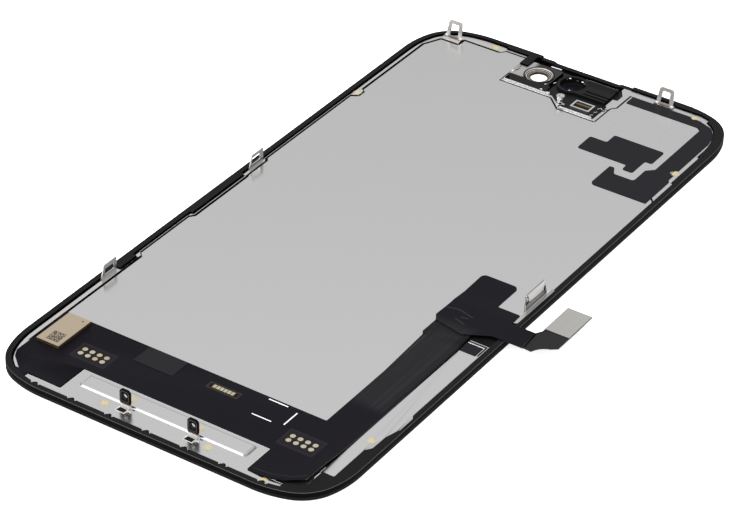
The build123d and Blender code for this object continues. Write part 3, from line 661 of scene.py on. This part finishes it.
# Painted shade lines along folds of the lifted corner, as (x0, y0, x1, y1, half width), each with a
# painted highlight beside it
CORNER_FOLD_SHADING = ((19.6, -68.9, 23.4, -68.7, 0.05), (23.4, -68.7, 26.2, -67.7, 0.05),
                (26.2, -67.7, 28.4, -66.2, 0.04))
WHITE_MARKS = ((11.1, 15.0, -51.98, -51.72), (11.1, 15.0, -56.92, -56.68),
               (17.08, 17.32, -56.3, -52.4))


def flex_film():
    """Black film of the circuit, with its scored lines, printed marks and pad fields."""
    f = plastic("FlexFilm", colors().flex, 0.48, 0.003, 0.05, 900.0)
    coat = f.coat
    x, y, _z = f.xyz
    for field in PAD_FIELDS:
        veil = f.inside(*field, 0.3) * 0.2 + f.outline(*field, 0.08, 0.2) * 0.25
        coat = f.blend(veil, coat, hexed("#332f38"))
    grain = f.noise(2400.0, 1.0, where=f.stretched(1.0, 0.004, 0.0), seed=1.0)
    riser = f.inside(*RISER, 3.0)
    coat = f.blend(grain.smooth(0.5, 0.62) * riser * 0.16, coat, tone(60))
    coat = f.ruled(coat, RISER_LINES, 0.02, 0.06, 0.35, tone(78))
    coat = f.ruled(coat, COVER_CREASES, 0.03, 0.12, 0.4, tone(76))
    coat = f.blend(f.outline(0.55, 6.6, -54.95, -53.5, 0.10, 0.12) * 0.7, coat, hexed("#3c322c"))
    front = y.smooth(-64.5, -65.5)
    # Painted shade in the folds of the lifted corner, with a thin painted highlight beside each.
    for ax, ay, bx, by, half in CORNER_FOLD_SHADING:
        coat = f.blend(f.stroke(ax, ay, bx, by, half, 0.10) * front * 0.75, coat, tone(4))
        light = f.stroke(ax, ay + 0.2, bx, by + 0.2, 0.01, 0.07)
        coat = f.blend(light * front * 0.3, coat, tone(92))
    for mark in WHITE_MARKS:
        coat = f.blend(f.inside(*mark, 0.03), coat, tone(236))
    coat = f.blend(riser * 0.16, coat, tone(62))
    edge = f.upright() * x.smooth(28.9, 29.0) * y.smooth(-34.0, -40.0)
    f.paint(f.blend(edge * 0.6, coat, hexed("#8c8177")))
    return f


def rim_black():
    """Moulded rim: sides painted near-black as shade, with a thin painted highlight at the outer
    top edge and another near the glass.
    """
    f = plastic("RimBlack", colors().rim, 0.42, 0.003, gloss=0.05)
    x, y, z = f.xyz
    nx, ny, nz = f.facing()
    wall_shade = nz.abs().smooth(0.6, 0.3)
    outer = wall_shade * ((nx * x + ny * y) > 0.0)
    # Painted shade on the sides, then painted highlight lines along the outer top edge and near the
    # glass.
    coat = f.blend(wall_shade, f.coat, tone(3))
    coat = f.blend(outer * z.smooth(1.55, 1.62) * 0.9, coat, tone(88))
    f.paint(f.blend(outer * z.smooth(0.69, 0.63) * 0.6, coat, tone(44)))
    f.feed("Roughness", wall_shade * 0.4 + 0.42)
    return f


def tab_black():
    """Painted black screw tabs, with a painted highlight on the chamfer round the raised middle and
    a fainter one round the bore.
    """
    f = plastic("TabBlack", hexed("#060607"), 0.5, 0.002, gloss=0.04)
    x, _y, z = f.xyz
    across, rise = (x.abs() - TAB_X).abs(), z - TAB_HOLE_Z
    # Distance outside the raised middle, a plate with its upper corners cut
    away = (across - 1.05).max(rise.abs() - 1.25).max((across + rise - 1.88) * 0.707)
    bore = (across * across + rise * rise) ** 0.5
    # Painted highlight on the chamfer round the raised middle, fainter round the bore.
    light = away.near(-0.27, 0.03, 0.06) * 0.8 + bore.near(0.50, 0.0, 0.1) * 0.3
    f.paint(f.blend(light, f.coat, tone(92)))
    return f


def stiffener_grey():
    """Brushed grey stiffener with dark cut edges."""
    f = plastic("StiffenerGrey", hexed("#8f8d8a"), 0.5, 0.02)
    grain = f.noise(1400.0, 2.0, where=f.stretched(1.0, 0.02, 1.0), seed=5.0)
    coat = f.blend((grain - 0.5) * 0.5 + 0.2, f.coat, hexed("#a3a19c"))
    f.paint(f.blend(f.upright(), coat, tone(22)))
    return f


def board_layers():
    """Laminated edge of the driver board: brown lines between dark layers."""
    f = plastic("BoardBrown", hexed("#17110c"), 0.6, 0.006)
    z = f.xyz[2]
    lines = z.near(1.60, 0.02, 0.02) + z.near(1.71, 0.015, 0.02)
    f.paint(f.blend(lines.min(1.0), f.coat, hexed("#6b5138")))
    return f


def driver_tan():
    """Tan moulding, speckled, with a pin-one dot and a plain stippled field."""
    f = plastic("DriverTan", colors().chip, 0.6, 0.02, 0.1, 1500.0)
    z = f.xyz[2]
    specks = f.noise(2600.0, 2.0, seed=9.0).smooth(0.6, 0.68)
    coat = f.blend(specks * 0.35, f.coat, hexed("#7d7061"))
    stipple = f.cells(3300.0).smooth(0.36, 0.44) * f.inside(-29.5, -27.0, -60.1, -57.4, 0.05)
    coat = f.blend(stipple * 0.85, coat, hexed("#40382e"))
    coat = f.blend(f.dot(-27.25, -52.7, 0.17), coat, hexed("#2a231c"))
    hem = z.near(1.84, 0.02, 0.02).max(z.smooth(1.99, 2.02))
    side = f.blend(hem, hexed("#1d1610"), hexed("#7d6a52"))
    f.paint(f.blend(f.upright(), coat, side))
    return f


class SCREEN_OT_plastic(bpy.types.Operator):
    """Moulded, coated and taped surfaces"""

    bl_idname = "screen.plastic"
    bl_label = "Plastic finishes"

    def execute(self, context):
        dress(["rim_frame"], rim_black())
        dress(["flex_tail"], flex_film())
        dress(["flex_head"], plastic("FlexBoard", hexed("#242425"), 0.5, 0.004))
        dress(["tail_stiffener"], stiffener_grey())
        dress(["board_connector", "sensor_holder"],
              plastic("HolderBlack", hexed("#161617"), 0.34, 0.003))
        dress(["driver_board"], board_layers())
        dress(["driver_chip"], driver_tan())
        dress(["tape_corner", "tape_tee", "tape_small"],
              plastic("TapeBlack", hexed("#1b1a1e"), 0.46, 0.003))
        dress(["dark_patch"], plastic("PatchBlack", hexed("#202022"), 0.55, 0.002))
        dress(["camera_gasket"], plastic("FoamBlack", hexed("#202021"), 0.9, 0.01, 0.5, 4000.0))
        dress(["screw_tab_left", "screw_tab_right"], tab_black())
        dress(["reflector_sheet"], plastic("ReflectorBack", hexed("#0e0e0f"), 0.6, 0.002))
        dress(["light_guide", "diffuser_sheet"],
              plastic("GuideSheet", hexed("#d8dadb"), 0.3, 0.01))
        dress(["led_bar"], plastic("LedBar", hexed("#e4dfb0"), 0.5, 0.02))
        return {"FINISHED"}


# Glass

def cover_glass():
    """Dark printed glass, with a glowing white patch over the camera hole painted to stand for the
    light seen through it.
    """
    f = Finish("CoverGlass", hexed("#0b0b0c"), 0.06, gloss=0.2)
    smudge = f.noise(45.0, 4.0)
    edge = f.facing()[2].abs().smooth(0.6, 0.3)
    window = f.dot(*CAMERA_HOLE, 1.75)
    f.feed("Roughness", (smudge - 0.45) * 0.08 + 0.05 + edge * 0.85)
    # Painted light: the patch over the camera is white and glows, standing for the light seen
    # through the hole.
    f.paint(f.blend(window, hexed("#08080a"), hexed("#fbfcfc")))
    f.shader.inputs["Emission Strength"].default_value = 1.0
    f.feed("Emission Color", f.blend(window, (0.0, 0.0, 0.0), (0.35, 0.35, 0.35)))
    return f


def cell_black():
    """Unlit display cell."""
    f = Finish("CellBlack", hexed("#0a0a0c"), 0.2)
    f.feed("Roughness", f.noise(80.0) * 0.1 + 0.16)
    return f


def sensor_glass():
    """Coated lens with a violet bloom and one bright glint."""
    f = Finish("SensorGlass", hexed("#0c0c0f"), 0.5, gloss=0.05)
    coat = f.blend(f.dot(0.10, 64.8, 0.55, 0.9), hexed("#09090b"), hexed("#1d1c38"))
    f.paint(f.blend(f.dot(-0.05, 64.75, 0.16, 0.16), coat, hexed("#c9cbe8")))
    f.feed("Roughness", f.noise(300.0) * 0.1 + 0.45)
    return f


class SCREEN_OT_glass(bpy.types.Operator):
    """Cover glass, display cell and lens"""

    bl_idname = "screen.glass"
    bl_label = "Glass finishes"

    def execute(self, context):
        dress(["cover_glass"], cover_glass())
        dress(["display_cell"], cell_black())
        dress(["sensor_lens"], sensor_glass())
        return {"FINISHED"}


# Flexible circuit

LIFT_LEFT, LIFT_FAR = 19, -44
LIFT_STEPS = 40
FILM_TOP, WAITING_ABOVE = 1.56, 1.59
WAITING_RISE = 0.2
ALONG_CUTS = (19.0, 21.0, 23.0, 24.3, 25.4, 26.4, 27.3, 28.1, 28.7)
ACROSS_CUTS = (-44.0, -47.0, -50.0, -53.0, -56.0, -58.5, -61.0, -63.6, -64.8, -66.0, -67.0,
               -67.8, -68.6)
RIGHT_LIFT = ((-67.7, 0.80), (-67.0, 0.84), (-65.3, 0.88), (-62.5, 0.78), (-59.0, 0.45),
              (-56.0, 0.20), (-50.0, 0.02), (-46.0, 0.0))
NEAR_LIFT = ((19.3, 0.0), (23.1, 0.18), (26.4, 0.48), (28.3, 0.83), (29.2, 0.86))


# The lift grows from an inner line over a span, and steeper towards the film's edge
SIDE_START, SIDE_SPAN, SIDE_POWER = 24.3, 4.9, 1.7
FRONT_START, FRONT_SPAN, FRONT_POWER = -63.6, 4.6, 1.5


def lifts(v):
    """Whether a point in mm belongs to the loose corner."""
    return v.x > LIFT_LEFT and v.y < LIFT_FAR


def lift_steps(v):
    """How far the loose corner stands up at a point, in whole steps."""
    from_left = min(1.0, max(0.0, (v.x - SIDE_START) / SIDE_SPAN)) ** SIDE_POWER
    from_far = min(1.0, max(0.0, (FRONT_START - v.y) / FRONT_SPAN)) ** FRONT_POWER
    lift = max(between(RIGHT_LIFT, v.y) * from_left, between(NEAR_LIFT, v.x) * from_far)
    return round(lift * LIFT_STEPS)


class SCREEN_OT_flex(bpy.types.Operator):
    """Flexible circuit with its loose corner lifted off the steel"""

    bl_idname = "screen.flex"
    bl_label = "Lifted circuit"

    def execute(self, context):
        # Moved points wait higher up, where no later step finds them, and then come down
        piece = merged_copy("flex_body", "flex_main")
        for x in ALONG_CUTS:
            slice_at(piece, (x, 0, 0), (1, 0, 0), lambda m: m.y < -40 and m.x > 15)
        for y in ACROSS_CUTS:
            slice_at(piece, (0, y, 0), (0, 1, 0), lambda m: m.x > LIFT_LEFT and m.y < -30)
        spots = [v.co / MM for v in bmesh.from_edit_mesh(piece.data).verts]
        for steps in sorted({lift_steps(v) for v in spots if lifts(v)} - {0}):
            nudge(piece, lambda v: lifts(v) and v.z < FILM_TOP and lift_steps(v) == steps,
                  (0, 0, steps / LIFT_STEPS + WAITING_RISE))
        nudge(piece, lambda v: lifts(v) and v.z > WAITING_ABOVE, (0, 0, -WAITING_RISE))
        film = flex_film()
        cover = block("cover", (-28.7, -70.45, 1.42), (-26.35, -68.9, 1.53))
        nudge(cover, lambda v: v.x > -27 and v.y > -69.5, (0.35, -0.10, 0))
        coated(cover, film, 0.03)
        hand_over(joined("flex_body", [coated(piece, film), cover]), "flex", "flex_main")
        return {"FINISHED"}


class SCREEN_OT_tail(bpy.types.Operator):
    """Crease across the tail, as painted shade: a thin black ribbon"""

    bl_idname = "screen.tail"
    bl_label = "Tail crease shade"

    def execute(self, context):
        film = plastic("CreaseShade", hexed("#040405"), 0.8, 0.001, gloss=0.02)
        path = [(37.95, -10.35, 2.09), (38.35, -15.25, 2.09)]
        hand_over(coated(ribbon("tail_crease_shade", path, (0.26, 0.0, 0.0), 0.06), film), "flex")
        return {"FINISHED"}


# Glue

GLUE = ((-19.8, 69.6), (25.1, 68.9), (31.75, 49.5), (-32.3, 39.3), (-10.5, -68.4), (10.6, -68.4),
        (23.0, -70.25), (31.3, -51.5), (-7.0, -65.3), (6.8, -65.3))
RIDGE_HALF = 9
SMEAR_RADIUS, SMEAR_THICK, SMEAR_RISE = 1.05, 0.015, 0.012


def glue_film():
    """Thin dried glue, fading at its border."""
    f = Finish("DriedGlue", hexed("#d3c08c"), 0.5)
    away = f.away(*GLUE[0])
    for spot in GLUE[1:]:
        away = away.min(f.away(*spot))
    patches = f.noise(900.0, 3.0, seed=6.0)
    f.paint(f.blend(patches.smooth(0.4, 0.6), hexed("#dccb98"), hexed("#dcd0ae")))
    f.feed("Alpha", (away + (patches - 0.5) * 0.6).smooth(1.0, 0.25) * 0.48)
    return f


class SCREEN_OT_glue(bpy.types.Operator):
    """Smears of dried glue on the steel"""

    bl_idname = "screen.glue"
    bl_label = "Glue smears"

    def execute(self, context):
        x, y = GLUE[0]
        first = disc("smear", (x, y, STEEL_TOP + SMEAR_RISE), SMEAR_RADIUS, SMEAR_THICK, 18)
        nudge(first, lambda v: (v.x - x) * (v.y - y) > 0.1, (0.06, -0.04, 0.0))
        nudge(first, lambda v: v.x < x - 0.4, (0.12, 0.0, 0.0))
        smears = [first]
        for there_x, there_y in GLUE[1:]:
            rise = RAISED_TOP - STEEL_TOP if abs(there_x) < RIDGE_HALF else 0.0
            smears.append(copied("smear", first, (there_x - x, there_y - y, rise)))
        hand_over(coated(joined("glue_smears", smears), glue_film()), "glue", "glue_spots")
        return {"FINISHED"}


# Screw tabs and clips

class SCREEN_OT_tabs(bpy.types.Operator):
    """Bent feet of the two screw tabs: a stem in the bright finish standing for the reflection
    along it, a dark sheet in each foot's well as painted shade, and a thin dark block right of each
    foot as painted shadow
    """

    bl_idname = "screen.tabs"
    bl_label = "Tab feet"

    def execute(self, context):
        bright = silver_bits("FootSilver")
        dark = plastic("FootOpeningShade", hexed("#17130f"), 0.5, 0.01)
        copper = plastic("FootCopper", hexed("#6b543c"), 0.4, 0.02)
        x = -TAB_X
        # The stem takes the bright finish as a painted reflection of the ridge's slope.
        stem = block("stem", (x - 0.95, -67.58, STEEL_TOP), (x + 0.95, -67.22, 2.12))
        strip = block("strip", (x - 1.0, -67.60, 2.12), (x + 1.0, -67.18, 2.449))
        plate = block("plate", (x - 1.02, -68.98, STEEL_TOP + SKIN), (x + 0.82, -67.80, 1.46))
        # Painted shade: a dark sheet in the foot's well.
        well = block("well", (x - 0.94, -68.90, 1.46 + SKIN), (x + 0.74, -67.87, 1.475))
        nudge(well, lambda v: v.x < x and v.y > -68.5, (0.18, 0.0, 0.0))
        # Painted shadow: a thin dark block right of the foot.
        slot = block("slot", (x + 1.0, -67.14, RAISED_TOP + SKIN), (x + 1.65, -66.90, 1.72))
        edge = ((x + 0.86, -69.0), (x + 1.02, -68.35), (x + 1.32, -68.0), (x + 1.70, -68.26))
        parts = [coated(stem, bright, 0.05), coated(strip, copper, 0.04),
                 coated(plate, bright), coated(well, dark), coated(slot, dark)]
        parts += strips("bent", (edge,), 1.44, (0.0, 0.13, 0.0), 0.06, bright)
        left = joined("tab_foot_bent_left", parts)
        right = copied("tab_foot_bent_right", left, (2 * TAB_X, 0.0, 0.0))
        hand_over(left, "clip_steel", "tab_foot_left")
        hand_over(right, "clip_steel", "tab_foot_right")
        return {"FINISHED"}


LOOP_OPEN = 1.21
LOOP_TAPER = 0.065


def bent_loop(name, node, x, foot_y, finish, slot_finish):
    """Loop clip with rounded bends and a narrowed opening, and the browned slot in its foot."""
    piece = merged_copy(name, node)
    pick(piece, "FACE", anything)
    bpy.ops.mesh.dissolve_limited(angle_limit=math.radians(1.0))
    pick(piece, "EDGE", lambda spot, _normal: spot.z > 4.55 and abs(spot.x - x) > 1.4)
    bpy.ops.mesh.bevel(offset=0.55 * MM, segments=5)

    def off_edge(v, side):
        return abs(side * (v.x - x) - LOOP_OPEN + LOOP_TAPER * (v.z - STEEL_TOP))

    for side in (1, -1):
        nudge(piece, lambda v: v.z > 1.3 and off_edge(v, side) < 0.14, (-0.16 * side, 0, 0))
    nudge(piece, lambda v: 3.9 < v.z < 4.35 and abs(v.x - x) < 1.1, (0, -0.03, -0.14))
    bright = silver_bits("LoopFoot", 240)
    parts = [coated(piece, finish),
             coated(block("slot", (x - 1.15, foot_y - 0.66, 1.60), (x + 1.15, foot_y - 0.34, 1.63)),
                    slot_finish)]
    for across in (-1.62, 1.62):
        foot = disc("foot", (x + across, foot_y - 0.12, 1.66), 0.32, 0.14, 14)
        parts.append(coated(foot, bright, 0.06))
    for i in range(5):
        middle = (x + 1.5 - 0.75 * i, foot_y - 0.75 + 0.25 * (i % 2), 1.63)
        parts.append(coated(disc("spot", middle, 0.14, 0.02, 8), slot_finish))
    hand_over(joined(name, parts), "clip_steel", node)


def wedge(name, corners):
    """Thin plate on the long clip's face, with four corners given as (y, z) in mm."""
    piece = block(name, (CLIP_FACE, 0, 0), (CLIP_FACE + 0.03, 1, 1))
    aside = 20  # moved corners wait here, where no later test finds them
    for (u, w), (y, z) in zip(((0, 0), (1, 0), (1, 1), (0, 1)), corners):
        nudge(piece, lambda v: abs(v.y - u) < 0.01 and abs(v.z - w) < 0.01,
              (0, y - u + aside, z - w))
    nudge(piece, anything, (0, -aside, 0))
    return piece


def long_clip():
    """Long clip with its leaf lifted at the near end, dark wedges at its ends and a dark line under
    the leaf painted as shade, a mid-grey sheet in its window standing for the shaded plate behind,
    and the ledge outside it.
    """
    dark = plastic("ClipShade", hexed("#1b1714"), 0.5, 0.01)
    pale = silver_bits("ClipEdge", 228)
    clip = merged_copy("long_clip", "clip_right")
    nudge(clip, lambda v: 2.9 < v.z < 3.3 and -4.8 < v.y < -4.4, (-0.25, 0, 0.25))
    nudge(clip, lambda v: 2.9 < v.z < 3.3 and 0.0 < v.y < 0.3, (-0.30, 0, 0.05))
    # Painted shade: a mid-grey sheet in the clip's window stands for the shaded plate seen through
    # it.
    inner = block("inner", (32.50, -5.5, 1.45), (32.55, 1.35, 3.25))
    # Painted shade: dark wedges at both ends of the leaf.
    near_end = wedge("near_end", ((-5.55, 2.95), (-4.45, 3.20), (-5.0, 3.69), (-5.5, 3.45)))
    far_end = wedge("far_end", ((0.35, 2.95), (0.98, 2.75), (0.98, 3.80), (0.30, 3.50)))
    # Painted shadow: a dark line under the leaf.
    shade = block("shade", (CLIP_FACE + 0.01, -4.5, 3.08), (CLIP_FACE + 0.06, 0.35, 3.17))
    nudge(shade, lambda v: v.y > 0, (0, 0, -0.16))
    ear = disc("ear", (CLIP_FACE + 0.03, -5.19, 4.58), 0.17, 0.05, 16, (0.0, math.pi / 2, 0.0))
    leg_edge = block("leg_edge", (CLIP_FACE, -5.79, 1.45), (CLIP_FACE + 0.04, -5.66, 3.3))
    foot_line = block("foot_line", (CLIP_FACE, -5.6, 1.62), (CLIP_FACE + 0.03, 1.5, 1.69))
    foot_edge = block("foot_edge", (CLIP_FACE, -5.9, RAISED_TOP + SKIN),
                      (CLIP_FACE + 0.10, 2.9, 1.74))
    ledge = block("ledge", (CLIP_FACE, -9.7, RAISED_TOP + SKIN), (33.58, 3.0, 1.725))
    nudge(ledge, lambda v: v.x > 33 and v.y < -5, (-0.1, 0.4, 0))
    parts = [coated(clip, steel("LongClipSteel", tone(156, 1), 0.36, 0.1), angle=5),
             coated(inner, silver_bits("ClipInner", 150))]
    parts += [coated(piece, dark) for piece in (near_end, far_end, shade, ear, foot_line)]
    parts += [coated(piece, pale) for piece in (leg_edge, foot_edge)]
    parts.append(coated(ledge, steel("LedgeSteel", tone(206, 3), 0.4, 0.1), 0.01))
    hand_over(joined("long_clip", parts), "clip_steel", "clip_right")


class SCREEN_OT_clips(bpy.types.Operator):
    """Bent loops, the clips' windows, and the long clip's painted shade: dark end wedges, a dark
    line under the leaf and a grey sheet in its window
    """

    bl_idname = "screen.clips"
    bl_label = "Clip details"

    def execute(self, context):
        loop = steel("LoopSteel", tone(166, 3), 0.36, 0.1)
        height = loop.xyz[2]
        # Painted highlight: the foot and lower legs of each loop are painted lighter.
        foot = height.smooth(3.1, 1.9) * height.smooth(1.66, 1.71)
        loop.paint(loop.blend(foot, loop.coat, tone(236)))
        brown = steel("LoopSlot", hexed("#7a5a44"), 0.4, 0.4)
        bent_loop("loop_left", "clip_top_left", -28.55, 68.10, loop, brown)
        bent_loop("loop_right", "clip_top_right", 18.10, 69.90, loop, brown)
        sheet = steel("PlateClipSteel", tone(192, 2), 0.32, 0.1)
        for name, node, near, far, low, high, shift in (
                ("plate_clip_lower", "clip_left_lower", -39.7, -36.4, 2.45, 2.85, (0, 0, -0.38)),
                ("plate_clip_upper", "clip_left_upper", 5.0, 6.2, 1.9, 3.85, (0, -0.30, -0.06))):
            clip = merged_copy(name, node)
            nudge(clip, lambda v: near < v.y < far and low < v.z < high, shift)
            hand_over(coated(clip, sheet), "clip_steel", node)
        long_clip()
        return {"FINISHED"}


# Camera well: runs of (x, y) and other places, in mm

SILVER_RUNS = (
    ((-12.35, 64.0), (-11.9, 64.9), (-11.6, 66.1)), ((-4.9, 60.6), (-4.1, 60.95), (-3.3, 60.5)),
    ((-3.0, 60.5), (-2.2, 60.7), (-1.9, 60.1)), ((-4.6, 62.9), (-4.3, 63.2)),
    ((-3.4, 64.3), (-3.0, 64.7)), ((-7.0, 69.55), (-4.6, 69.45)), ((2.0, 57.5), (3.2, 57.25)),
    ((1.2, 58.1), (1.7, 57.7)))
DULL_RUNS = (((8.4, 60.9), (8.9, 61.4), (9.3, 61.2)), ((8.5, 59.4), (9.0, 59.8)),
             ((8.3, 58.1), (8.9, 58.4)))
GAP_SHADE_RUNS = (((-12.1, 64.5), (-11.8, 66.2)), ((8.2, 60.4), (9.2, 60.7)), ((8.2, 58.9), (9.1, 59.1)))
SLIVER_RUN = ((29.42, -63.4), (29.36, -65.1))
CRUMPLE_RUNS = (((9.3, 60.6), (9.9, 61.1), (9.5, 61.6), (10.2, 61.9)), ((7.6, 57.9), (8.3, 58.3)),
                ((9.0, 59.9), (9.6, 60.1)))


class SCREEN_OT_camera(bpy.types.Operator):
    """Small bent bits of steel round the camera and the sensors, glint discs on the sensor pit as
    painted highlights, and dark strips and discs put in as shade in the gaps and beside the column
    """

    bl_idname = "screen.camera"
    bl_label = "Camera details"

    def execute(self, context):
        bright = silver_bits("LeafSilver")
        dull = silver_bits("LeafDull", 165)
        dark = plastic("LeafShade", hexed("#141312"), 0.4, 0.006)
        brown = plastic("GlintBrown", hexed("#5e4a3a"), 0.4, 0.02)
        black = plastic("BarBlack", hexed("#141415"), 0.4, 0.003, gloss=0.25)
        bits = []
        for runs, finish in ((SILVER_RUNS, bright), (DULL_RUNS, dull)):
            bits += strips("bit", runs, 1.46, (0.0, 0.22, 0.0), 0.12, finish, 0.02, 0.12)
        # Painted shade: dark strips in the gaps between the bits.
        bits += strips("gap_shade", GAP_SHADE_RUNS, 1.44, (0.35, 0.15, 0.0), 0.06, dark)
        bits += strips("sliver", (SLIVER_RUN,), 1.44, (0.26, 0.0, 0.0), 0.03, bright)
        # Painted highlights: white and brown glint discs on the pit's wall.
        for x, y, size, finish in ((-1.47, 67.3, 0.15, bright), (0.15, 67.35, 0.13, brown),
                                   (1.2, 67.5, 0.17, bright), (1.9, 67.1, 0.18, brown),
                                   (-1.75, 66.7, 0.10, brown)):
            glint = disc("glint", (x, y, 1.80), size, 0.06, 12)
            nudge(glint, lambda v: v.x > x, (size, 0.0, 0.0))
            bits.append(coated(glint, finish, 0.02))
        bits.append(coated(disc("column", (1.55, 58.5, 2.1), 0.40, 1.6, 18), bright, 0.05))
        # Painted shade: dark discs beside the column.
        for spot in ((1.85, 58.3, 2.35), (1.7, 58.2, 1.75)):
            bits.append(coated(disc("shade", spot, 0.26, 0.24, 10), dark, 0.04))
        bits += strips("crumple", CRUMPLE_RUNS, 1.43, (0.0, 0.16, 0.0), 0.05, dark)
        bar = disc("bar", (4.95, 68.35, 1.60), 0.46, 7.2, 20, (0.0, math.pi / 2, 0.0))
        bits.append(coated(bar, black, 0.12))
        hand_over(joined("camera_bits", bits), "bracket_steel")
        return {"FINISHED"}


BUMP_COUNT = 7


class SCREEN_OT_bumps(bpy.types.Operator):
    """Half-round bumps of the rim between each pair of teeth"""

    bl_idname = "screen.bumps"
    bl_label = "Rim bumps"

    def execute(self, context):
        black = plastic("BumpBlack", hexed("#101011"), 0.5, 0.003, gloss=0.04)
        first = disc("bump", (-3 * TOOTH_PITCH, -70.84, 1.50), 0.40, 0.20, 20)
        slice_at(first, (0, -70.86, 0), (0, 1, 0), anything)
        nudge(first, lambda v: v.y < -70.9, (0, -0.15, 0))
        coated(first, black, 0.04)
        others = [copied("bump", first, (i * TOOTH_PITCH, 0, 0)) for i in range(1, BUMP_COUNT)]
        hand_over(joined("rim_bumps", [first] + others), "rim")
        return {"FINISHED"}


# Stage, in metres

FLOOR_SIZE = 6.0
FLOOR_DROP = 0.0001
FLOOR_GLOW = 0.8
SKY_CAP = 0.68
KEY_PANEL = ((-0.58, -0.88, 0.72), 1.1)
TOP_PANEL = ((0.1, 0.1, 1.2), 1.2)
WHITE = (1.0, 1.0, 1.0)
SENSOR_WIDTH = 36.0
CAMERA_SPOT = (0.25766, -0.40581, 0.31844)
CAMERA_RIGHT = (0.83177, 0.55465, 0.02267)
CAMERA_UP = (-0.32449, 0.45267, 0.83054)


def pale_floor():
    fresh()
    bpy.ops.mesh.primitive_plane_add(size=FLOOR_SIZE, location=(0, 0, -FLOOR_DROP))
    floor = bpy.context.object
    floor.name = "Floor"
    f = Finish("PaleFloor", (0.93, 0.93, 0.93), 0.8)
    f.feed("Base Color", f.blend(f.noise(3.0), (0.92, 0.92, 0.92), (0.94, 0.94, 0.94)))
    f.shader.inputs["Emission Color"].default_value = rgba(WHITE)
    f.shader.inputs["Emission Strength"].default_value = FLOOR_GLOW
    floor.data.materials.append(f.material)


def soft_sky(stage):
    """Sky that brightens with height up to a cap, so that level steel stays grey from above."""
    world = bpy.data.worlds.new("StudioWhite")
    bpy.context.scene.world = world
    world.use_nodes = True
    shop = Shop(world.node_tree)
    spot = shop.add("ShaderNodeTexCoord", {}, {})
    split = shop.add("ShaderNodeSeparateXYZ", {}, {"Vector": spot.outputs["Generated"]})
    rise = shop.add("ShaderNodeMapRange", {}, {
        "Value": split.outputs["Z"], "From Max": SKY_CAP, "To Min": stage.haze,
        "To Max": stage.haze + SKY_CAP * stage.sky})
    background = shop.tree.nodes["Background"]
    background.inputs["Color"].default_value = rgba(WHITE)
    shop.tree.links.new(rise.outputs[0], background.inputs["Strength"])


def area_light(name, spot, size, power):
    """Square panel that faces the origin."""
    data = bpy.data.lights.new(name, "AREA")
    data.size = size
    data.energy = power
    lamp = bpy.data.objects.new(name, data)
    bpy.context.scene.collection.objects.link(lamp)
    lamp.location = spot
    lamp.rotation_mode = "QUATERNION"
    lamp.rotation_quaternion = (-Vector(spot)).to_track_quat("-Z", "Y")
    return lamp


def photo_camera(lens):
    """Camera at the photograph's viewing angle."""
    camera = bpy.data.cameras.new("PhotoCamera")
    camera.sensor_width = SENSOR_WIDTH
    camera.lens = lens
    camera.clip_start = 0.05
    camera.clip_end = 10.0
    body = bpy.data.objects.new("PhotoCamera", camera)
    bpy.context.scene.collection.objects.link(body)
    right, up = Vector(CAMERA_RIGHT), Vector(CAMERA_UP)
    turn = Matrix((right, up, right.cross(up))).transposed().to_4x4()
    body.matrix_world = Matrix.Translation(CAMERA_SPOT) @ turn
    bpy.context.scene.camera = body


class SCREEN_OT_stage(bpy.types.Operator):
    """Pale floor, soft light and the camera"""

    bl_idname = "screen.stage"
    bl_label = "Stage"

    def execute(self, context):
        stage = context.scene.screen_stage
        pale_floor()
        soft_sky(stage)
        area_light("KeyPanel", *KEY_PANEL, stage.key)
        area_light("TopPanel", *TOP_PANEL, stage.top).visible_glossy = False
        context.scene.view_settings.view_transform = "Standard"
        photo_camera(stage.lens)
        return {"FINISHED"}


class SCREEN_PT_panel(bpy.types.Panel):
    """Lists the steps of the screen assembly"""

    bl_label = "Screen Assembly"
    bl_idname = "SCREEN_PT_panel"
    bl_space_type = "VIEW_3D"
    bl_region_type = "UI"
    bl_category = "Screen Assembly"

    def draw(self, context):
        for group in (context.scene.screen_colors, context.scene.screen_stage):
            for key in group.__annotations__:
                self.layout.prop(group, key)
        for step in STEPS:
            self.layout.operator(step.bl_idname)


STEPS = (SCREEN_OT_metal, SCREEN_OT_plastic, SCREEN_OT_glass, SCREEN_OT_flex, SCREEN_OT_glue,
         SCREEN_OT_tabs, SCREEN_OT_clips, SCREEN_OT_camera, SCREEN_OT_bumps, SCREEN_OT_tail,
         SCREEN_OT_stage)
CLASSES = (ScreenColors, ScreenStage) + STEPS + (SCREEN_PT_panel,)


def register():
    for cls in CLASSES:
        bpy.utils.register_class(cls)
    bpy.types.Scene.screen_colors = bpy.props.PointerProperty(type=ScreenColors)
    bpy.types.Scene.screen_stage = bpy.props.PointerProperty(type=ScreenStage)


def unregister():
    del bpy.types.Scene.screen_stage
    del bpy.types.Scene.screen_colors
    for cls in reversed(CLASSES):
        bpy.utils.unregister_class(cls)


def main():
    register()
    for step in STEPS:
        group, name = step.bl_idname.split(".")
        getattr(getattr(bpy.ops, group), name)()


if __name__ == "__main__":
    main()
